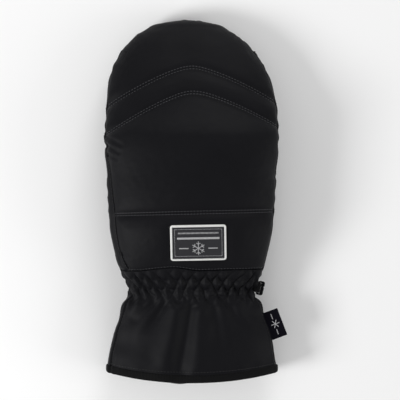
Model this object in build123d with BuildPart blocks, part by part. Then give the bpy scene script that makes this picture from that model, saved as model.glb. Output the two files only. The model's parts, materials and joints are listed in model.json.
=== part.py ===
"""A padded ski mitten for the right hand, lying on its palm with the thumb folded under.

X runs across the hand, away from the thumb, Y runs from the hem to the fingertips, and Z is up,
out of the back of the hand. The origin is on the table, under the middle of the mitten's outline.
Every ply is the space between two pouches, one drawn in further than the other. A panel is the
stretch of a ply inside a block that stands on the table and follows the panel's seams.
"""

import math
import os
from collections import namedtuple

from build123d import *

os.makedirs("parts", exist_ok=True)

# ---- Driving dimensions, in mm ----
CUFF_LENGTH = 67.0  # hem to the lower edge of the gathers
WRIST_LENGTH = 24.0  # the gathered stretch
HAND_LENGTH = 199.0  # wrist seam to fingertip
TIP_LENGTH = 70.0  # the rounded end of the hand

CUFF_WIDTH = 136.0
WRIST_WIDTH = 99.0
HEEL_WIDTH = 114.0
HAND_WIDTH = 138.0

CUFF_HEIGHT = 42.0
WRIST_HEIGHT = 33.0
HAND_HEIGHT = 44.0
FINGER_HEIGHT = 42.0
WRIST_LIFT = 10.0  # from the table to the underside of the wrist
TABLE_CUT = 0.4  # how far the soft underside is pressed flat by the table

SHELL = 1.2  # outer fabric with its backing
BATTING = 5.0  # full padding
CUFF_FILL = 0.25  # share of the full padding in the wrist and cuff
HEEL_FILL = 0.5  # and at the wrist seam
MEMBRANE = 0.5
LINING = 1.5
PLY_GAP = 0.4  # air between two plies
SEAM_GAP = 0.3  # between two panels that are sewn together
MEMBRANE_END = 20.0  # from the hem to the open end of the waterproof insert

CHEVRON_RISE = 33.0  # apex of a chevron seam over its ends
CHEVRON_PITCH = 21.5  # between the two chevron seams
CHEVRON_DOWN = 36.5  # fingertip to the first apex
CHEVRON_ROUND = 24.0
KNUCKLE_SEAM = 46.0  # wrist seam to the straight seam over the label
GUSSET_WIDTH = 5.0  # how much of the thumb-side panel shows from above
GUSSET_END = 108.0  # wrist seam to the pointed end of that panel

THUMB_LENGTH = 96.0
THUMB_WIDTH = 46.0  # at its root
THUMB_TIP_WIDTH = 36.0  # where the tip starts to round
THUMB_HEIGHT = 16.0
THUMB_CLEARANCE = 2.0  # air between the thumb and the palm over it
THUMB_TIP = 22.0  # length of the rounded tip
THUMB_TURN = -5.0  # degrees, the tip towards the middle of the palm
THUMB_ROOT = 23.0  # from the thumb's hole to the round end behind it
THUMB_SIDE = 38.0  # from the hand's middle to the thumb's hole
THUMB_UP = 31.0  # from the wrist seam to the thumb's hole
THUMB_HOLE_RADIUS = 12.0
THUMB_SHELL = 1.0
THUMB_BATTING = 2.0
THUMB_MEMBRANE = 0.4
THUMB_LINING = 0.9
THUMB_GAP = 0.3  # air between two plies of the thumb
COLLAR_WALL = 1.2

LABEL_LENGTH = 45.0
LABEL_WIDTH = 29.0
LABEL_BORDER = 2.1
LABEL_ROUND = 1.6
LABEL_SIDE = 5.3  # from the hand's middle
LABEL_UP = 22.0  # from the wrist seam
LABEL_TURN = 1.0  # degrees
LABEL_THICKNESS = 0.8
BORDER_RISE = 0.4
GRIP_THICKNESS = 0.9
GRIP_LENGTH = 104.0
GRIP_WIDTH = 70.0
GRIP_ROUND = 24.0
GRIP_SIDE = 12.0  # from the hand's middle
GRIP_UP = 72.0  # from the wrist seam

ELASTIC_THICKNESS = 1.0
ELASTIC_WIDTH = 18.0

BINDING_WALL = 0.9
BINDING_WIDTH = 5.5
BINDING_CLEARANCE = 0.2
HEM_DROP = 9.5  # how far the middle of the hem stands past its ends

WEBBING_WIDTH = 8.0
WEBBING_THICKNESS = 0.7
WEBBING_CLEARANCE = 0.3
CLIP_WIDTH = 11.4
CLIP_REACH = 4.8  # bar axis to the clip's outer edge
CLIP_BAR_RADIUS = 0.9
CLIP_ARM = 1.3
CLIP_RAIL = 1.3  # the outer side, where the other mitten's loop goes in
CLIP_ROUND = 1.8
CLIP_STANDOFF = 1.745  # bar axis from where the wrist comes nearest to it
CLIP_TURN = -14.0  # degrees
CLIP_UP = 76.5  # hem to the clip's middle
CLIP_MOUTH = 1.2  # the slit the loop is pressed through

TAG_LENGTH = 22.8
TAG_REACH = 11.5
TAG_THICKNESS = 0.5
TAG_FOLD = 0.5  # air inside the folded tag
TAG_UP = 44.5  # hem to the tag's middle
TAG_STANDOFF = 2.1  # sewn edge from the straight line between two points of the cuff

# ---- Places worked out from them ----
PALM_LIFT = THUMB_HEIGHT + THUMB_CLEARANCE  # from the table to the palm
OVERALL_LENGTH = CUFF_LENGTH + WRIST_LENGTH + HAND_LENGTH
HEM_Y = -OVERALL_LENGTH / 2
CUFF_TOP_Y = HEM_Y + CUFF_LENGTH
WRIST_SEAM_Y = CUFF_TOP_Y + WRIST_LENGTH
TIP_Y = OVERALL_LENGTH / 2
TIP_START_Y = TIP_Y - TIP_LENGTH
KNUCKLE_SEAM_Y = WRIST_SEAM_Y + KNUCKLE_SEAM
FIRST_APEX_Y = TIP_Y - CHEVRON_DOWN
SECOND_APEX_Y = FIRST_APEX_Y - CHEVRON_PITCH
AXIS_X = -3.4  # the hand's own middle, because the side tag stands out on one side
ROOM = 30.0  # how far a cutting block runs past the mitten
TOP = PALM_LIFT + HAND_HEIGHT + ROOM
LEFT = AXIS_X - HAND_WIDTH / 2 - ROOM
RIGHT = AXIS_X + HAND_WIDTH / 2 + ROOM
BINDING_OUTSET = BINDING_WALL + BINDING_CLEARANCE

# Where each ply starts and ends, from the outer face inwards, without and with the padding.
SHELL_IN = SHELL
BATTING_OUT = SHELL_IN + PLY_GAP
MEMBRANE_OUT = BATTING_OUT + PLY_GAP
MEMBRANE_IN = MEMBRANE_OUT + MEMBRANE
LINING_OUT = MEMBRANE_IN + PLY_GAP
LINING_IN = LINING_OUT + LINING

Section = namedtuple("Section", "y half_width low high fill")


def section(y, width, low, height, fill=1.0):
    return Section(y, width / 2, low - TABLE_CUT, low + height, fill)


MAIN_SECTIONS = [
    section(HEM_Y - 2 * BINDING_WIDTH, CUFF_WIDTH, BINDING_OUTSET, CUFF_HEIGHT, CUFF_FILL),
    section(HEM_Y + 0.2 * CUFF_LENGTH, CUFF_WIDTH - 1, BINDING_OUTSET, CUFF_HEIGHT, CUFF_FILL),
    section(HEM_Y + 0.6 * CUFF_LENGTH, CUFF_WIDTH - 11, 0.3 * WRIST_LIFT, CUFF_HEIGHT - 1, CUFF_FILL),
    section(CUFF_TOP_Y - 3, WRIST_WIDTH + 6, 0.8 * WRIST_LIFT, WRIST_HEIGHT + 2, CUFF_FILL),
    section(CUFF_TOP_Y + 6, WRIST_WIDTH, WRIST_LIFT, WRIST_HEIGHT, CUFF_FILL),
    section(WRIST_SEAM_Y, HEEL_WIDTH, 0.8 * PALM_LIFT, HAND_HEIGHT - 5, HEEL_FILL),
    section(WRIST_SEAM_Y + 0.16 * HAND_LENGTH, HAND_WIDTH - 10, PALM_LIFT, HAND_HEIGHT),
    section(WRIST_SEAM_Y + 0.38 * HAND_LENGTH, HAND_WIDTH - 4, PALM_LIFT, HAND_HEIGHT),
    section(WRIST_SEAM_Y + 0.54 * HAND_LENGTH, HAND_WIDTH, 0.97 * PALM_LIFT, HAND_HEIGHT),
    section(TIP_START_Y, HAND_WIDTH - 2, 0.5 * PALM_LIFT, FINGER_HEIGHT),
]
SPAN_STEPS = 3  # sections between two main ones
TIP_ANGLES = (12, 24, 36, 47, 57, 66, 74, 81)  # degrees round the fingertip
TIP_SKEW = -5.0  # the fingertips lean to the thumb's side
TIP_FALL = 0.3  # how far the fingertips droop, per length


def curve(a, b, c, d, share):
    """The value between b and c on a smooth curve through a, b, c and d."""
    return b + share * (c - a + share * (2 * a - 5 * b + 4 * c - d + share * (3 * b - 3 * c + d - a))) / 2


def smooth_sections():
    """The main sections with others between them, on a smooth curve."""
    ends = [MAIN_SECTIONS[0], *MAIN_SECTIONS, MAIN_SECTIONS[-1]]
    made = []
    for a, b, c, d in zip(ends, ends[1:], ends[2:], ends[3:]):
        for step in range(SPAN_STEPS):
            share = step / SPAN_STEPS
            y = b.y + share * (c.y - b.y)
            made.append(Section(y, *(curve(*four, share) for four in list(zip(a, b, c, d))[1:])))
    return [*made, MAIN_SECTIONS[-1]]


SECTIONS = smooth_sections()


def at(y):
    """The section at y, straight between its two neighbours."""
    for a, b in zip(SECTIONS, SECTIONS[1:]):
        if a.y <= y <= b.y:
            share = (y - a.y) / (b.y - a.y)
            return Section(*(p + share * (q - p) for p, q in zip(a, b)))
    return SECTIONS[-1]


def middle(s):
    return (s.low + s.high) / 2


def across(x, y, z):
    """A plane across the hand, with its own Y up."""
    return Plane(origin=(x, y, z), x_dir=(1, 0, 0), z_dir=(0, -1, 0))


def tip_sections(inset):
    """The rounded end of the hand, as x, y, z of the middle, half width and half height."""
    last = SECTIONS[-1]
    for degrees in TIP_ANGLES:
        turn = math.radians(degrees)
        reach = math.sin(turn)
        half_width = (last.half_width - inset) * math.cos(turn) ** 0.85
        half_height = ((last.high - last.low) / 2 - inset) * math.cos(turn) ** 0.75
        z = max(middle(last) - TIP_FALL * TIP_LENGTH * reach, half_height + inset - TABLE_CUT)
        yield AXIS_X + TIP_SKEW * reach, last.y + (TIP_LENGTH - inset) * reach, z, half_width, half_height


def pouch(skin, batting=0.0):
    """The mitten's volume, drawn in by skin, and by batting as well where the padding is full."""
    with BuildPart() as body:
        for s in SECTIONS:
            inset = skin + batting * s.fill
            with BuildSketch(across(AXIS_X, s.y, middle(s))):
                Ellipse(s.half_width - inset, (s.high - s.low) / 2 - inset)
        for x, y, z, half_width, half_height in tip_sections(skin + batting):
            with BuildSketch(across(x, y, z)):
                Ellipse(half_width, half_height)
        loft(ruled=True)
    return body.part


def ply(outer, inner):
    """The space between two pouches."""
    with BuildPart() as body:
        add(outer)
        add(inner, mode=Mode.SUBTRACT)
    return body.part


# ---- Blocks that cut a ply into panels ----
def side_block(upper, gap):
    """All that lies over, or under, the seam that runs round the hand's widest line."""
    shift = gap / 2 if upper else -gap / 2
    line = [(s.y, middle(s) + shift) for s in SECTIONS]
    line += [(y, z + shift) for _, y, z, _, _ in tip_sections(0)]
    first, last = line[0], line[-1]
    far_z = TOP if upper else 0
    line = [(first[0] - ROOM, first[1]), *line, (last[0] + ROOM, last[1])]
    with BuildPart() as block:
        with BuildSketch(Plane.YZ.offset(LEFT)):
            Polygon(*line, (last[0] + ROOM, far_z), (first[0] - ROOM, far_z), align=None)
        extrude(amount=RIGHT - LEFT)
    return block.part


def chevron_block(apex_y, shift):
    """All that lies past a chevron seam, towards the fingertips."""
    y = apex_y + shift
    slope = CHEVRON_RISE / (HAND_WIDTH / 2)
    with BuildPart() as block:
        with BuildSketch():
            ends = [(x, y - slope * abs(x - AXIS_X)) for x in (LEFT, AXIS_X, RIGHT)]
            Polygon(*ends, (RIGHT, TIP_Y + ROOM), (LEFT, TIP_Y + ROOM), align=None)
            fillet(vertices().sort_by_distance((AXIS_X, y))[0], CHEVRON_ROUND)
        extrude(amount=TOP)
    return block.part


def straight_block(low_y, high_y):
    """All that lies between two straight seams across the mitten."""
    with BuildPart() as block:
        with BuildSketch():
            with Locations((AXIS_X, (low_y + high_y) / 2)):
                Rectangle(RIGHT - LEFT, high_y - low_y)
        extrude(amount=TOP)
    return block.part


def hem_block(inset):
    """All that lies inside the curved hem, drawn in by inset."""
    low_y = HEM_Y + inset
    half = CUFF_WIDTH / 2
    with BuildPart() as block:
        with BuildSketch():
            with BuildLine():
                hem = ThreePointArc(
                    (AXIS_X - half - ROOM / 3, low_y + HEM_DROP),
                    (AXIS_X, low_y),
                    (AXIS_X + half + ROOM / 3, low_y + HEM_DROP),
                )
                Polyline(hem @ 1, (RIGHT, CUFF_TOP_Y), (RIGHT, TIP_Y + ROOM))
                Polyline((RIGHT, TIP_Y + ROOM), (LEFT, TIP_Y + ROOM), (LEFT, CUFF_TOP_Y), hem @ 0)
            make_face()
        extrude(amount=TOP)
    return block.part


def gusset_block(gap):
    """The strip of the thumb's side, between its seam and the open air."""
    end_y = WRIST_SEAM_Y + GUSSET_END
    share_in = ((0.0, 1.5), (0.1, 1.0), (0.5, 0.9), (1.0, -0.6))  # along the seam, width share
    seam = []
    for share, width in share_in:
        y = WRIST_SEAM_Y + share * GUSSET_END
        seam.append((AXIS_X - at(y).half_width + width * GUSSET_WIDTH + gap, y))
    with BuildPart() as block:
        with BuildSketch():
            with BuildLine():
                Spline(*seam)
                Polyline(seam[-1], (LEFT, end_y), (LEFT, WRIST_SEAM_Y), seam[0])
            make_face()
        extrude(amount=TOP)
    return block.part


def thumb_hole(radius):
    with BuildPart() as hole:
        with BuildSketch(Plane(origin=(THUMB_X, THUMB_Y, 0))):
            Circle(radius)
        extrude(amount=PALM_LIFT + HAND_HEIGHT / 2)
    return hole.part


def piece(label, body, *keep, cut=()):
    """A ply trimmed to the blocks in keep, less those in cut, labelled and written."""
    with BuildPart() as made:
        add(body)
        for block in keep:
            add(block, mode=Mode.INTERSECT)
        for block in cut:
            add(block, mode=Mode.SUBTRACT)
    save(label, made.part)
    return made.part


def save(label, part):
    part.label = label
    export_step(part, f"parts/{label}.step")


THUMB_X = AXIS_X - THUMB_SIDE
THUMB_Y = WRIST_SEAM_Y + THUMB_UP

outer_pouch = pouch(0)
shell_in = pouch(SHELL_IN)
shell = ply(outer_pouch, shell_in)
batting = ply(pouch(BATTING_OUT), pouch(BATTING_OUT, BATTING))
membrane = ply(pouch(MEMBRANE_OUT, BATTING), pouch(MEMBRANE_IN, BATTING))
lining_in = pouch(LINING_IN, BATTING)
lining = ply(pouch(LINING_OUT, BATTING), lining_in)

half_seam = SEAM_GAP / 2
back = side_block(True, SEAM_GAP)
palm = side_block(False, SEAM_GAP)
hand = straight_block(WRIST_SEAM_Y + half_seam, TIP_Y + ROOM)
wrist = straight_block(CUFF_TOP_Y + half_seam, WRIST_SEAM_Y - half_seam)
cuff = straight_block(HEM_Y - ROOM, CUFF_TOP_Y - half_seam)
hem = hem_block(BINDING_WALL + PLY_GAP)
gusset = gusset_block(0)
beside_gusset = gusset_block(SEAM_GAP)
hole = thumb_hole(THUMB_HOLE_RADIUS)

# ---- Outer shell of the hand ----
past_first = chevron_block(FIRST_APEX_Y, half_seam)
before_first = chevron_block(FIRST_APEX_Y, -half_seam)
past_second = chevron_block(SECOND_APEX_Y, half_seam)
before_second = chevron_block(SECOND_APEX_Y, -half_seam)
past_knuckle = straight_block(KNUCKLE_SEAM_Y + half_seam, TIP_Y + ROOM)
before_knuckle = straight_block(WRIST_SEAM_Y + half_seam, KNUCKLE_SEAM_Y - half_seam)

piece("back_tip_panel", shell, back, past_first)
piece("back_chevron_panel", shell, back, past_second, cut=[before_first, beside_gusset])
piece("back_hand_panel", shell, back, past_knuckle, cut=[before_second, beside_gusset])
piece("back_label_panel", shell, back, before_knuckle, cut=[beside_gusset])
piece("palm_panel", shell, palm, hand, cut=[beside_gusset, hole])
piece("thumb_side_gusset", shell, gusset, hand)

# ---- Padding, waterproof insert and lining ----
piece("back_batting", batting, back, hand)
piece("palm_batting", batting, palm, hand, cut=[hole])
piece("cuff_batting", batting, cuff, hem)
piece("membrane_insert", membrane, straight_block(HEM_Y + MEMBRANE_END, TIP_Y + ROOM), cut=[hole])
piece("hand_lining", lining, straight_block(CUFF_TOP_Y + half_seam, TIP_Y + ROOM), cut=[hole])
piece("cuff_lining", lining, cuff, hem)

# ---- Wrist and cuff ----
elastic = ply(pouch(BATTING_OUT), pouch(BATTING_OUT + ELASTIC_THICKNESS))
gathers_y = (CUFF_TOP_Y + WRIST_SEAM_Y) / 2
elastic_block = straight_block(gathers_y - ELASTIC_WIDTH / 2, gathers_y + ELASTIC_WIDTH / 2)
piece("wrist_band", shell, wrist)
piece("wrist_elastic", elastic, elastic_block)
piece("cuff_back_panel", shell, back, cuff, hem)
piece("cuff_palm_panel", shell, palm, cuff, hem)

binding_body = ply(pouch(-BINDING_OUTSET), pouch(LINING_IN + BINDING_OUTSET, BATTING))
binding_slot = ply(pouch(-BINDING_CLEARANCE), pouch(LINING_IN + BINDING_CLEARANCE, BATTING))
with BuildPart() as slot_block:
    add(binding_slot)
    add(hem_block(BINDING_WALL), mode=Mode.INTERSECT)
piece("hem_binding", binding_body, hem_block(0), cut=[hem_block(BINDING_WIDTH), slot_block.part])

# ---- Label and grip, sewn onto the outer shell ----
on_shell = pouch(-SEAM_GAP)


def patch_block(x, y, length, width, round_radius, turn=0.0):
    with BuildPart() as block:
        with BuildSketch(Plane(origin=(x, y, 0)) * Rot(0, 0, turn)):
            RectangleRounded(length, width, round_radius)
        extrude(amount=TOP)
    return block.part


label_x = AXIS_X + LABEL_SIDE
label_y = WRIST_SEAM_Y + LABEL_UP
field_length = LABEL_LENGTH - 2 * LABEL_BORDER
field_width = LABEL_WIDTH - 2 * LABEL_BORDER
field_gap = 2 * SEAM_GAP
label_block = patch_block(label_x, label_y, LABEL_LENGTH, LABEL_WIDTH, LABEL_ROUND, LABEL_TURN)
field_block = patch_block(label_x, label_y, field_length, field_width, LABEL_ROUND / 2, LABEL_TURN)
border_hole = patch_block(
    label_x, label_y, field_length + field_gap, field_width + field_gap, LABEL_ROUND / 2, LABEL_TURN
)
field_ply = ply(pouch(-SEAM_GAP - LABEL_THICKNESS), on_shell)
border_ply = ply(pouch(-SEAM_GAP - LABEL_THICKNESS - BORDER_RISE), on_shell)
piece("label_patch", field_ply, back, field_block)
piece("label_border", border_ply, back, label_block, cut=[border_hole])

grip_block = patch_block(AXIS_X + GRIP_SIDE, WRIST_SEAM_Y + GRIP_UP, GRIP_WIDTH, GRIP_LENGTH, GRIP_ROUND)
grip_ply = ply(pouch(-SEAM_GAP - GRIP_THICKNESS), on_shell)
collar_room = thumb_hole(THUMB_HOLE_RADIUS + COLLAR_WALL + PLY_GAP)
piece("palm_grip_patch", grip_ply, palm, grip_block, cut=[collar_room])

# ---- Thumb, hinged about the middle of its hole ----
THUMB_STEPS = (-78, -64, -50, -36, -22, -9)  # degrees round the root
THUMB_TIP_STEPS = (0, 20, 38, 52, 64, 75)  # and round the tip
thumb_place = Plane(origin=(THUMB_X, THUMB_Y, 0)) * Rot(0, 0, THUMB_TURN)


def thumb_pouch(inset):
    """The thumb's volume, drawn in by inset."""
    low, high = -TABLE_CUT + inset, THUMB_HEIGHT - TABLE_CUT - inset
    root_half = THUMB_WIDTH / 2 - inset
    tip_half = THUMB_TIP_WIDTH / 2 - inset
    ends = [(math.radians(d), root_half, 0.0, THUMB_ROOT - inset) for d in THUMB_STEPS]
    tip_start = THUMB_LENGTH - THUMB_ROOT - THUMB_TIP
    ends += [(math.radians(d), tip_half, tip_start, THUMB_TIP - inset) for d in THUMB_TIP_STEPS]
    with BuildPart() as body:
        for turn, half, start, reach in ends:
            y = start + reach * math.sin(turn)
            with BuildSketch(thumb_place * Pos(0, y, (low + high) / 2) * Rot(90, 0, 0)):
                Ellipse(half * math.cos(turn) ** 0.8, (high - low) / 2 * math.cos(turn) ** 0.7)
        loft(ruled=True)
    return body.part


def thumb_half(upper):
    """All that lies over, or under, the thumb's own side seam."""
    middle_z = THUMB_HEIGHT / 2 - TABLE_CUT
    low, high = (middle_z + half_seam, TOP) if upper else (0, middle_z - half_seam)
    with BuildPart() as block:
        with BuildSketch(Plane.XY.offset(low)):
            with Locations((THUMB_X, THUMB_Y)):
                Circle(2 * THUMB_LENGTH)
        extrude(amount=high - low)
    return block.part


with BuildPart() as thumb_way:
    add(thumb_hole(THUMB_HOLE_RADIUS))
    add(thumb_half(True), mode=Mode.INTERSECT)

thumb_batting_out = THUMB_SHELL + THUMB_GAP
thumb_batting_in = thumb_batting_out + THUMB_BATTING
thumb_membrane_out = thumb_batting_in + THUMB_GAP
thumb_membrane_in = thumb_membrane_out + THUMB_MEMBRANE
thumb_lining_out = thumb_membrane_in + THUMB_GAP
thumb_lining_in = thumb_lining_out + THUMB_LINING
thumb_shell = ply(thumb_pouch(0), thumb_pouch(THUMB_SHELL))
thumb_batting = ply(thumb_pouch(thumb_batting_out), thumb_pouch(thumb_batting_in))
thumb_membrane = ply(thumb_pouch(thumb_membrane_out), thumb_pouch(thumb_membrane_in))
thumb_lining = ply(thumb_pouch(thumb_lining_out), thumb_pouch(thumb_lining_in))
whole = straight_block(HEM_Y, TIP_Y)

piece("thumb_back_panel", thumb_shell, thumb_half(True), cut=[thumb_way.part])
piece("thumb_palm_panel", thumb_shell, thumb_half(False))
piece("thumb_batting", thumb_batting, whole, cut=[thumb_way.part])
piece("thumb_membrane", thumb_membrane, whole, cut=[thumb_way.part])
piece("thumb_lining", thumb_lining, whole, cut=[thumb_way.part])

# ---- Thumb collar, the sewn ring between the palm and the thumb ----
with BuildPart() as collar:
    with BuildSketch(Plane(origin=(THUMB_X, THUMB_Y, THUMB_HEIGHT - TABLE_CUT + SEAM_GAP))):
        Circle(THUMB_HOLE_RADIUS + COLLAR_WALL)
        Circle(THUMB_HOLE_RADIUS, mode=Mode.SUBTRACT)
    extrude(amount=PALM_LIFT)
    add(on_shell, mode=Mode.SUBTRACT)
    collar_top = solids().sort_by(Axis.Z)
save("thumb_collar", collar_top[0])

# ---- Pair clip and its webbing loop, at the side of the gathers ----
clip_y = HEM_Y + CLIP_UP
clip_lean = math.tan(math.radians(CLIP_TURN))
clip_steps = [CLIP_WIDTH / 2 * k / 10 for k in range(-10, 11)]
nearest = max(at(clip_y + step).half_width + step * clip_lean for step in clip_steps)
clip_x = AXIS_X + nearest + CLIP_STANDOFF
clip_z = middle(at(clip_y))
clip_place = Plane(origin=(clip_x, clip_y, clip_z)) * Rot(0, 0, CLIP_TURN)
webbing_in = CLIP_BAR_RADIUS + WEBBING_CLEARANCE
webbing_out = webbing_in + WEBBING_THICKNESS

with BuildPart() as webbing_loop:
    with BuildSketch(clip_place * Rot(90, 0, 0)):
        Circle(webbing_out)
        with Locations((-ROOM / 4, 0)):
            Rectangle(ROOM / 2, 2 * webbing_out)
        Circle(webbing_in, mode=Mode.SUBTRACT)
        with Locations((-ROOM / 4, 0)):
            Rectangle(ROOM / 2, 2 * webbing_in, mode=Mode.SUBTRACT)
    extrude(amount=WEBBING_WIDTH / 2, both=True)
    add(on_shell, mode=Mode.SUBTRACT)
save("webbing_loop", webbing_loop.part)

rail_x = CLIP_REACH - CLIP_RAIL / 2
with BuildPart() as pair_clip:
    with BuildSketch(clip_place * Rot(90, 0, 0)):
        Circle(CLIP_BAR_RADIUS)
    extrude(amount=CLIP_WIDTH / 2, both=True)
    with BuildSketch(clip_place * Pos(0, 0, -CLIP_BAR_RADIUS)):
        with Locations((CLIP_REACH / 2, 0)):
            Rectangle(CLIP_REACH, CLIP_WIDTH)
        fillet(vertices().group_by(Axis.X)[-1], CLIP_ROUND / 2)
        with Locations(((CLIP_REACH - CLIP_RAIL) / 2, 0)):
            Rectangle(CLIP_REACH - CLIP_RAIL, CLIP_WIDTH - 2 * CLIP_ARM, mode=Mode.SUBTRACT)
        with Locations((rail_x, CLIP_WIDTH / 2 - CLIP_ARM - CLIP_MOUTH / 2 - CLIP_ROUND)):
            Rectangle(CLIP_RAIL * 2, CLIP_MOUTH, mode=Mode.SUBTRACT)
    extrude(amount=2 * CLIP_BAR_RADIUS)
save("pair_clip", pair_clip.part)

# ---- Side tag, folded and sewn into the cuff's side ----
tag_rise = TAG_LENGTH / 2 * 0.91
tag_y = HEM_Y + TAG_UP
tag_low, tag_high = at(tag_y - tag_rise), at(tag_y + tag_rise)
tag_x = AXIS_X + (tag_low.half_width + tag_high.half_width) / 2
tag_turn = math.degrees(math.atan2(tag_low.half_width - tag_high.half_width, 2 * tag_rise))
tag_place = Plane(origin=(tag_x, tag_y, middle(at(tag_y)))) * Rot(0, 0, tag_turn)
tag_place = tag_place * Pos(TAG_STANDOFF, 0, 0)
tag_half = TAG_FOLD / 2 + TAG_THICKNESS
straight = TAG_REACH - tag_half

with BuildPart() as side_tag:
    with BuildSketch(tag_place * Rot(90, 0, 0)):
        with Locations((straight / 2, 0)):
            Rectangle(straight, 2 * tag_half)
        with Locations((straight, 0)):
            Circle(tag_half)
            Circle(TAG_FOLD / 2, mode=Mode.SUBTRACT)
        with Locations((straight / 2, 0)):
            Rectangle(straight, TAG_FOLD, mode=Mode.SUBTRACT)
    extrude(amount=TAG_LENGTH / 2, both=True)
save("side_tag", side_tag.part)
print("hinges", (THUMB_X, THUMB_Y), (clip_x, clip_y, clip_z), tag_place.position, tag_turn)
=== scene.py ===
# %% [markdown]
# # A padded ski mitten
#
# This scene dresses the imported model of a right-hand ski mitten. The hand, wrist and cuff are
# one soft tube, so they are made from one grid that follows the CAD body's own sections. The
# grid's rows run along the real seams, which lets cloth simulation puff each padded panel
# between lines of stitching. Threads and edgings come from Geometry Nodes.

import json
import math

import bmesh
import bpy
import numpy as np
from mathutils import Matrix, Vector
from mathutils.bvhtree import BVHTree


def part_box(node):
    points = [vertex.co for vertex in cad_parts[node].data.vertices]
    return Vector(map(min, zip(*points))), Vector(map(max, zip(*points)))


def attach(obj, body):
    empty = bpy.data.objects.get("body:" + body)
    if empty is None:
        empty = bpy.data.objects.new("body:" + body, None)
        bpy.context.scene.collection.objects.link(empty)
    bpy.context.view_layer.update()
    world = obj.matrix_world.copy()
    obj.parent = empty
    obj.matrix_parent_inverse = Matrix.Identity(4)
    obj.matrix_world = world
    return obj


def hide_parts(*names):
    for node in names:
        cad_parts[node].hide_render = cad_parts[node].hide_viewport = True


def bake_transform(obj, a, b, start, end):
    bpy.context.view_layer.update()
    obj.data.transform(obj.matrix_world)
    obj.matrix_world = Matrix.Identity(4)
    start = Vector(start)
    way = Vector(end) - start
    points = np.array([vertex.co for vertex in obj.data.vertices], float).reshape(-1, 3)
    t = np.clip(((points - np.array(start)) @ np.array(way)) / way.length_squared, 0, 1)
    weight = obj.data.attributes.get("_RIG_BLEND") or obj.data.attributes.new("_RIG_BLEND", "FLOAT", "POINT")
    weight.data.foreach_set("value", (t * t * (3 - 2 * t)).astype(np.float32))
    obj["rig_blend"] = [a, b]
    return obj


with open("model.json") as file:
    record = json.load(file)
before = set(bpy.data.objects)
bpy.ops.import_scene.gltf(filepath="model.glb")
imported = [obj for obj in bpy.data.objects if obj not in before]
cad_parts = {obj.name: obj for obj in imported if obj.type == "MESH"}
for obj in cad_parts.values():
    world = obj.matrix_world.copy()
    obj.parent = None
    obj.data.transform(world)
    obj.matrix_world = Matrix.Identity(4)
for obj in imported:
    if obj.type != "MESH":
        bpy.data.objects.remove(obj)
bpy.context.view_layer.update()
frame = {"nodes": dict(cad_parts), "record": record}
MM = 0.001
scene = bpy.context.scene

# %% [markdown]
# ## Camera, floor and light
#
# The mitten is looked at from straight above with a long lens, which keeps its outline free of
# perspective. Three broad area lamps and a pale world give a soft, nearly shadowless light, as a
# light tent does. Black cloth shows its folds only through highlights, so one lamp is low.

# %% Camera and floor
camera = bpy.data.objects.new("camera", bpy.data.cameras.new("camera"))
scene.collection.objects.link(camera)
camera.data.lens = 200
camera.data.sensor_width = 36
FRAME_WIDTH = 320 * MM
camera.location = (3.2 * MM, 1.6 * MM, FRAME_WIDTH * 200 / 36 + 0.03)
camera.data.clip_end = 20
scene.camera = camera

floor_mesh = bpy.data.meshes.new("floor")
floor_mesh.from_pydata([(-6, -6, 0), (6, -6, 0), (6, 6, 0), (-6, 6, 0)], [], [(0, 1, 2, 3)])
floor = bpy.data.objects.new("floor", floor_mesh)
scene.collection.objects.link(floor)


def lamp(name, place, size, power):
    """A square area lamp that faces the mitten."""
    light = bpy.data.lights.new(name, "AREA")
    light.size = size
    light.energy = power
    obj = bpy.data.objects.new(name, light)
    obj.location = place
    obj.rotation_mode = "QUATERNION"
    obj.rotation_quaternion = (-Vector(place)).to_track_quat("-Z", "Y")
    scene.collection.objects.link(obj)


lamp("lamp_left", (-1.12, -0.45, 0.82), 0.5, 13.5)
lamp("lamp_top", (0.3, 1.3, 0.8), 0.8, 8)
lamp("lamp_right", (1.3, -0.4, 0.6), 0.7, 5)
world = bpy.data.worlds.new("light_tent")
scene.world = world
world.use_nodes = True
world.node_tree.nodes["Background"].inputs["Color"].default_value = (1, 1, 1, 1)
world.node_tree.nodes["Background"].inputs["Strength"].default_value = 0.42
scene.view_settings.view_transform = "Standard"
print("camera at", [round(v, 3) for v in camera.location])

# %% [markdown]
# ## Materials
#
# One function turns an sRGB hex value to the linear colour that Blender works in, and one adds a
# node with its settings and links. On those stand the few patterns that the finishes share: a
# height pressed into the surface, two tones mixed, a cloudy noise and parallel ribs.


# %% Helpers for every finish
def linear(code, alpha=1.0):
    """An sRGB hex value as a linear colour."""
    parts = [int(code[k : k + 2], 16) / 255 for k in (0, 2, 4)]
    return (*((c / 12.92 if c <= 0.04045 else ((c + 0.055) / 1.055) ** 2.4) for c in parts), alpha)


def add_node(tree, kind, links=None, inputs=None, **settings):
    """Adds a node, sets its properties and sockets, and links other nodes' sockets to it."""
    made = tree.nodes.new(kind)
    for name, value in settings.items():
        setattr(made, name, value)
    for name, value in (inputs or {}).items():
        made.inputs[name].default_value = value
    for name, socket in (links or {}).items():
        tree.links.new(socket, made.inputs[name])
    return made


def start_material(name, colour=None, **surface):
    """A new material with its Principled shader, whose constant sockets are set directly."""
    material = bpy.data.materials.new(name)
    material.use_nodes = True
    shader = material.node_tree.nodes["Principled BSDF"]
    for socket, value in surface.items():
        shader.inputs[socket.replace("_", " ")].default_value = value
    if colour:
        shader.inputs["Base Color"].default_value = linear(colour)
    return material, material.node_tree, shader


def emboss(tree, shader, height, distance, strength=0.6):
    """Links a height to the shader's normal. distance is the real height in metres."""
    bump = add_node(
        tree,
        "ShaderNodeBump",
        links={"Height": height},
        inputs={"Distance": distance, "Strength": strength},
    )
    tree.links.new(bump.outputs["Normal"], shader.inputs["Normal"])


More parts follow.
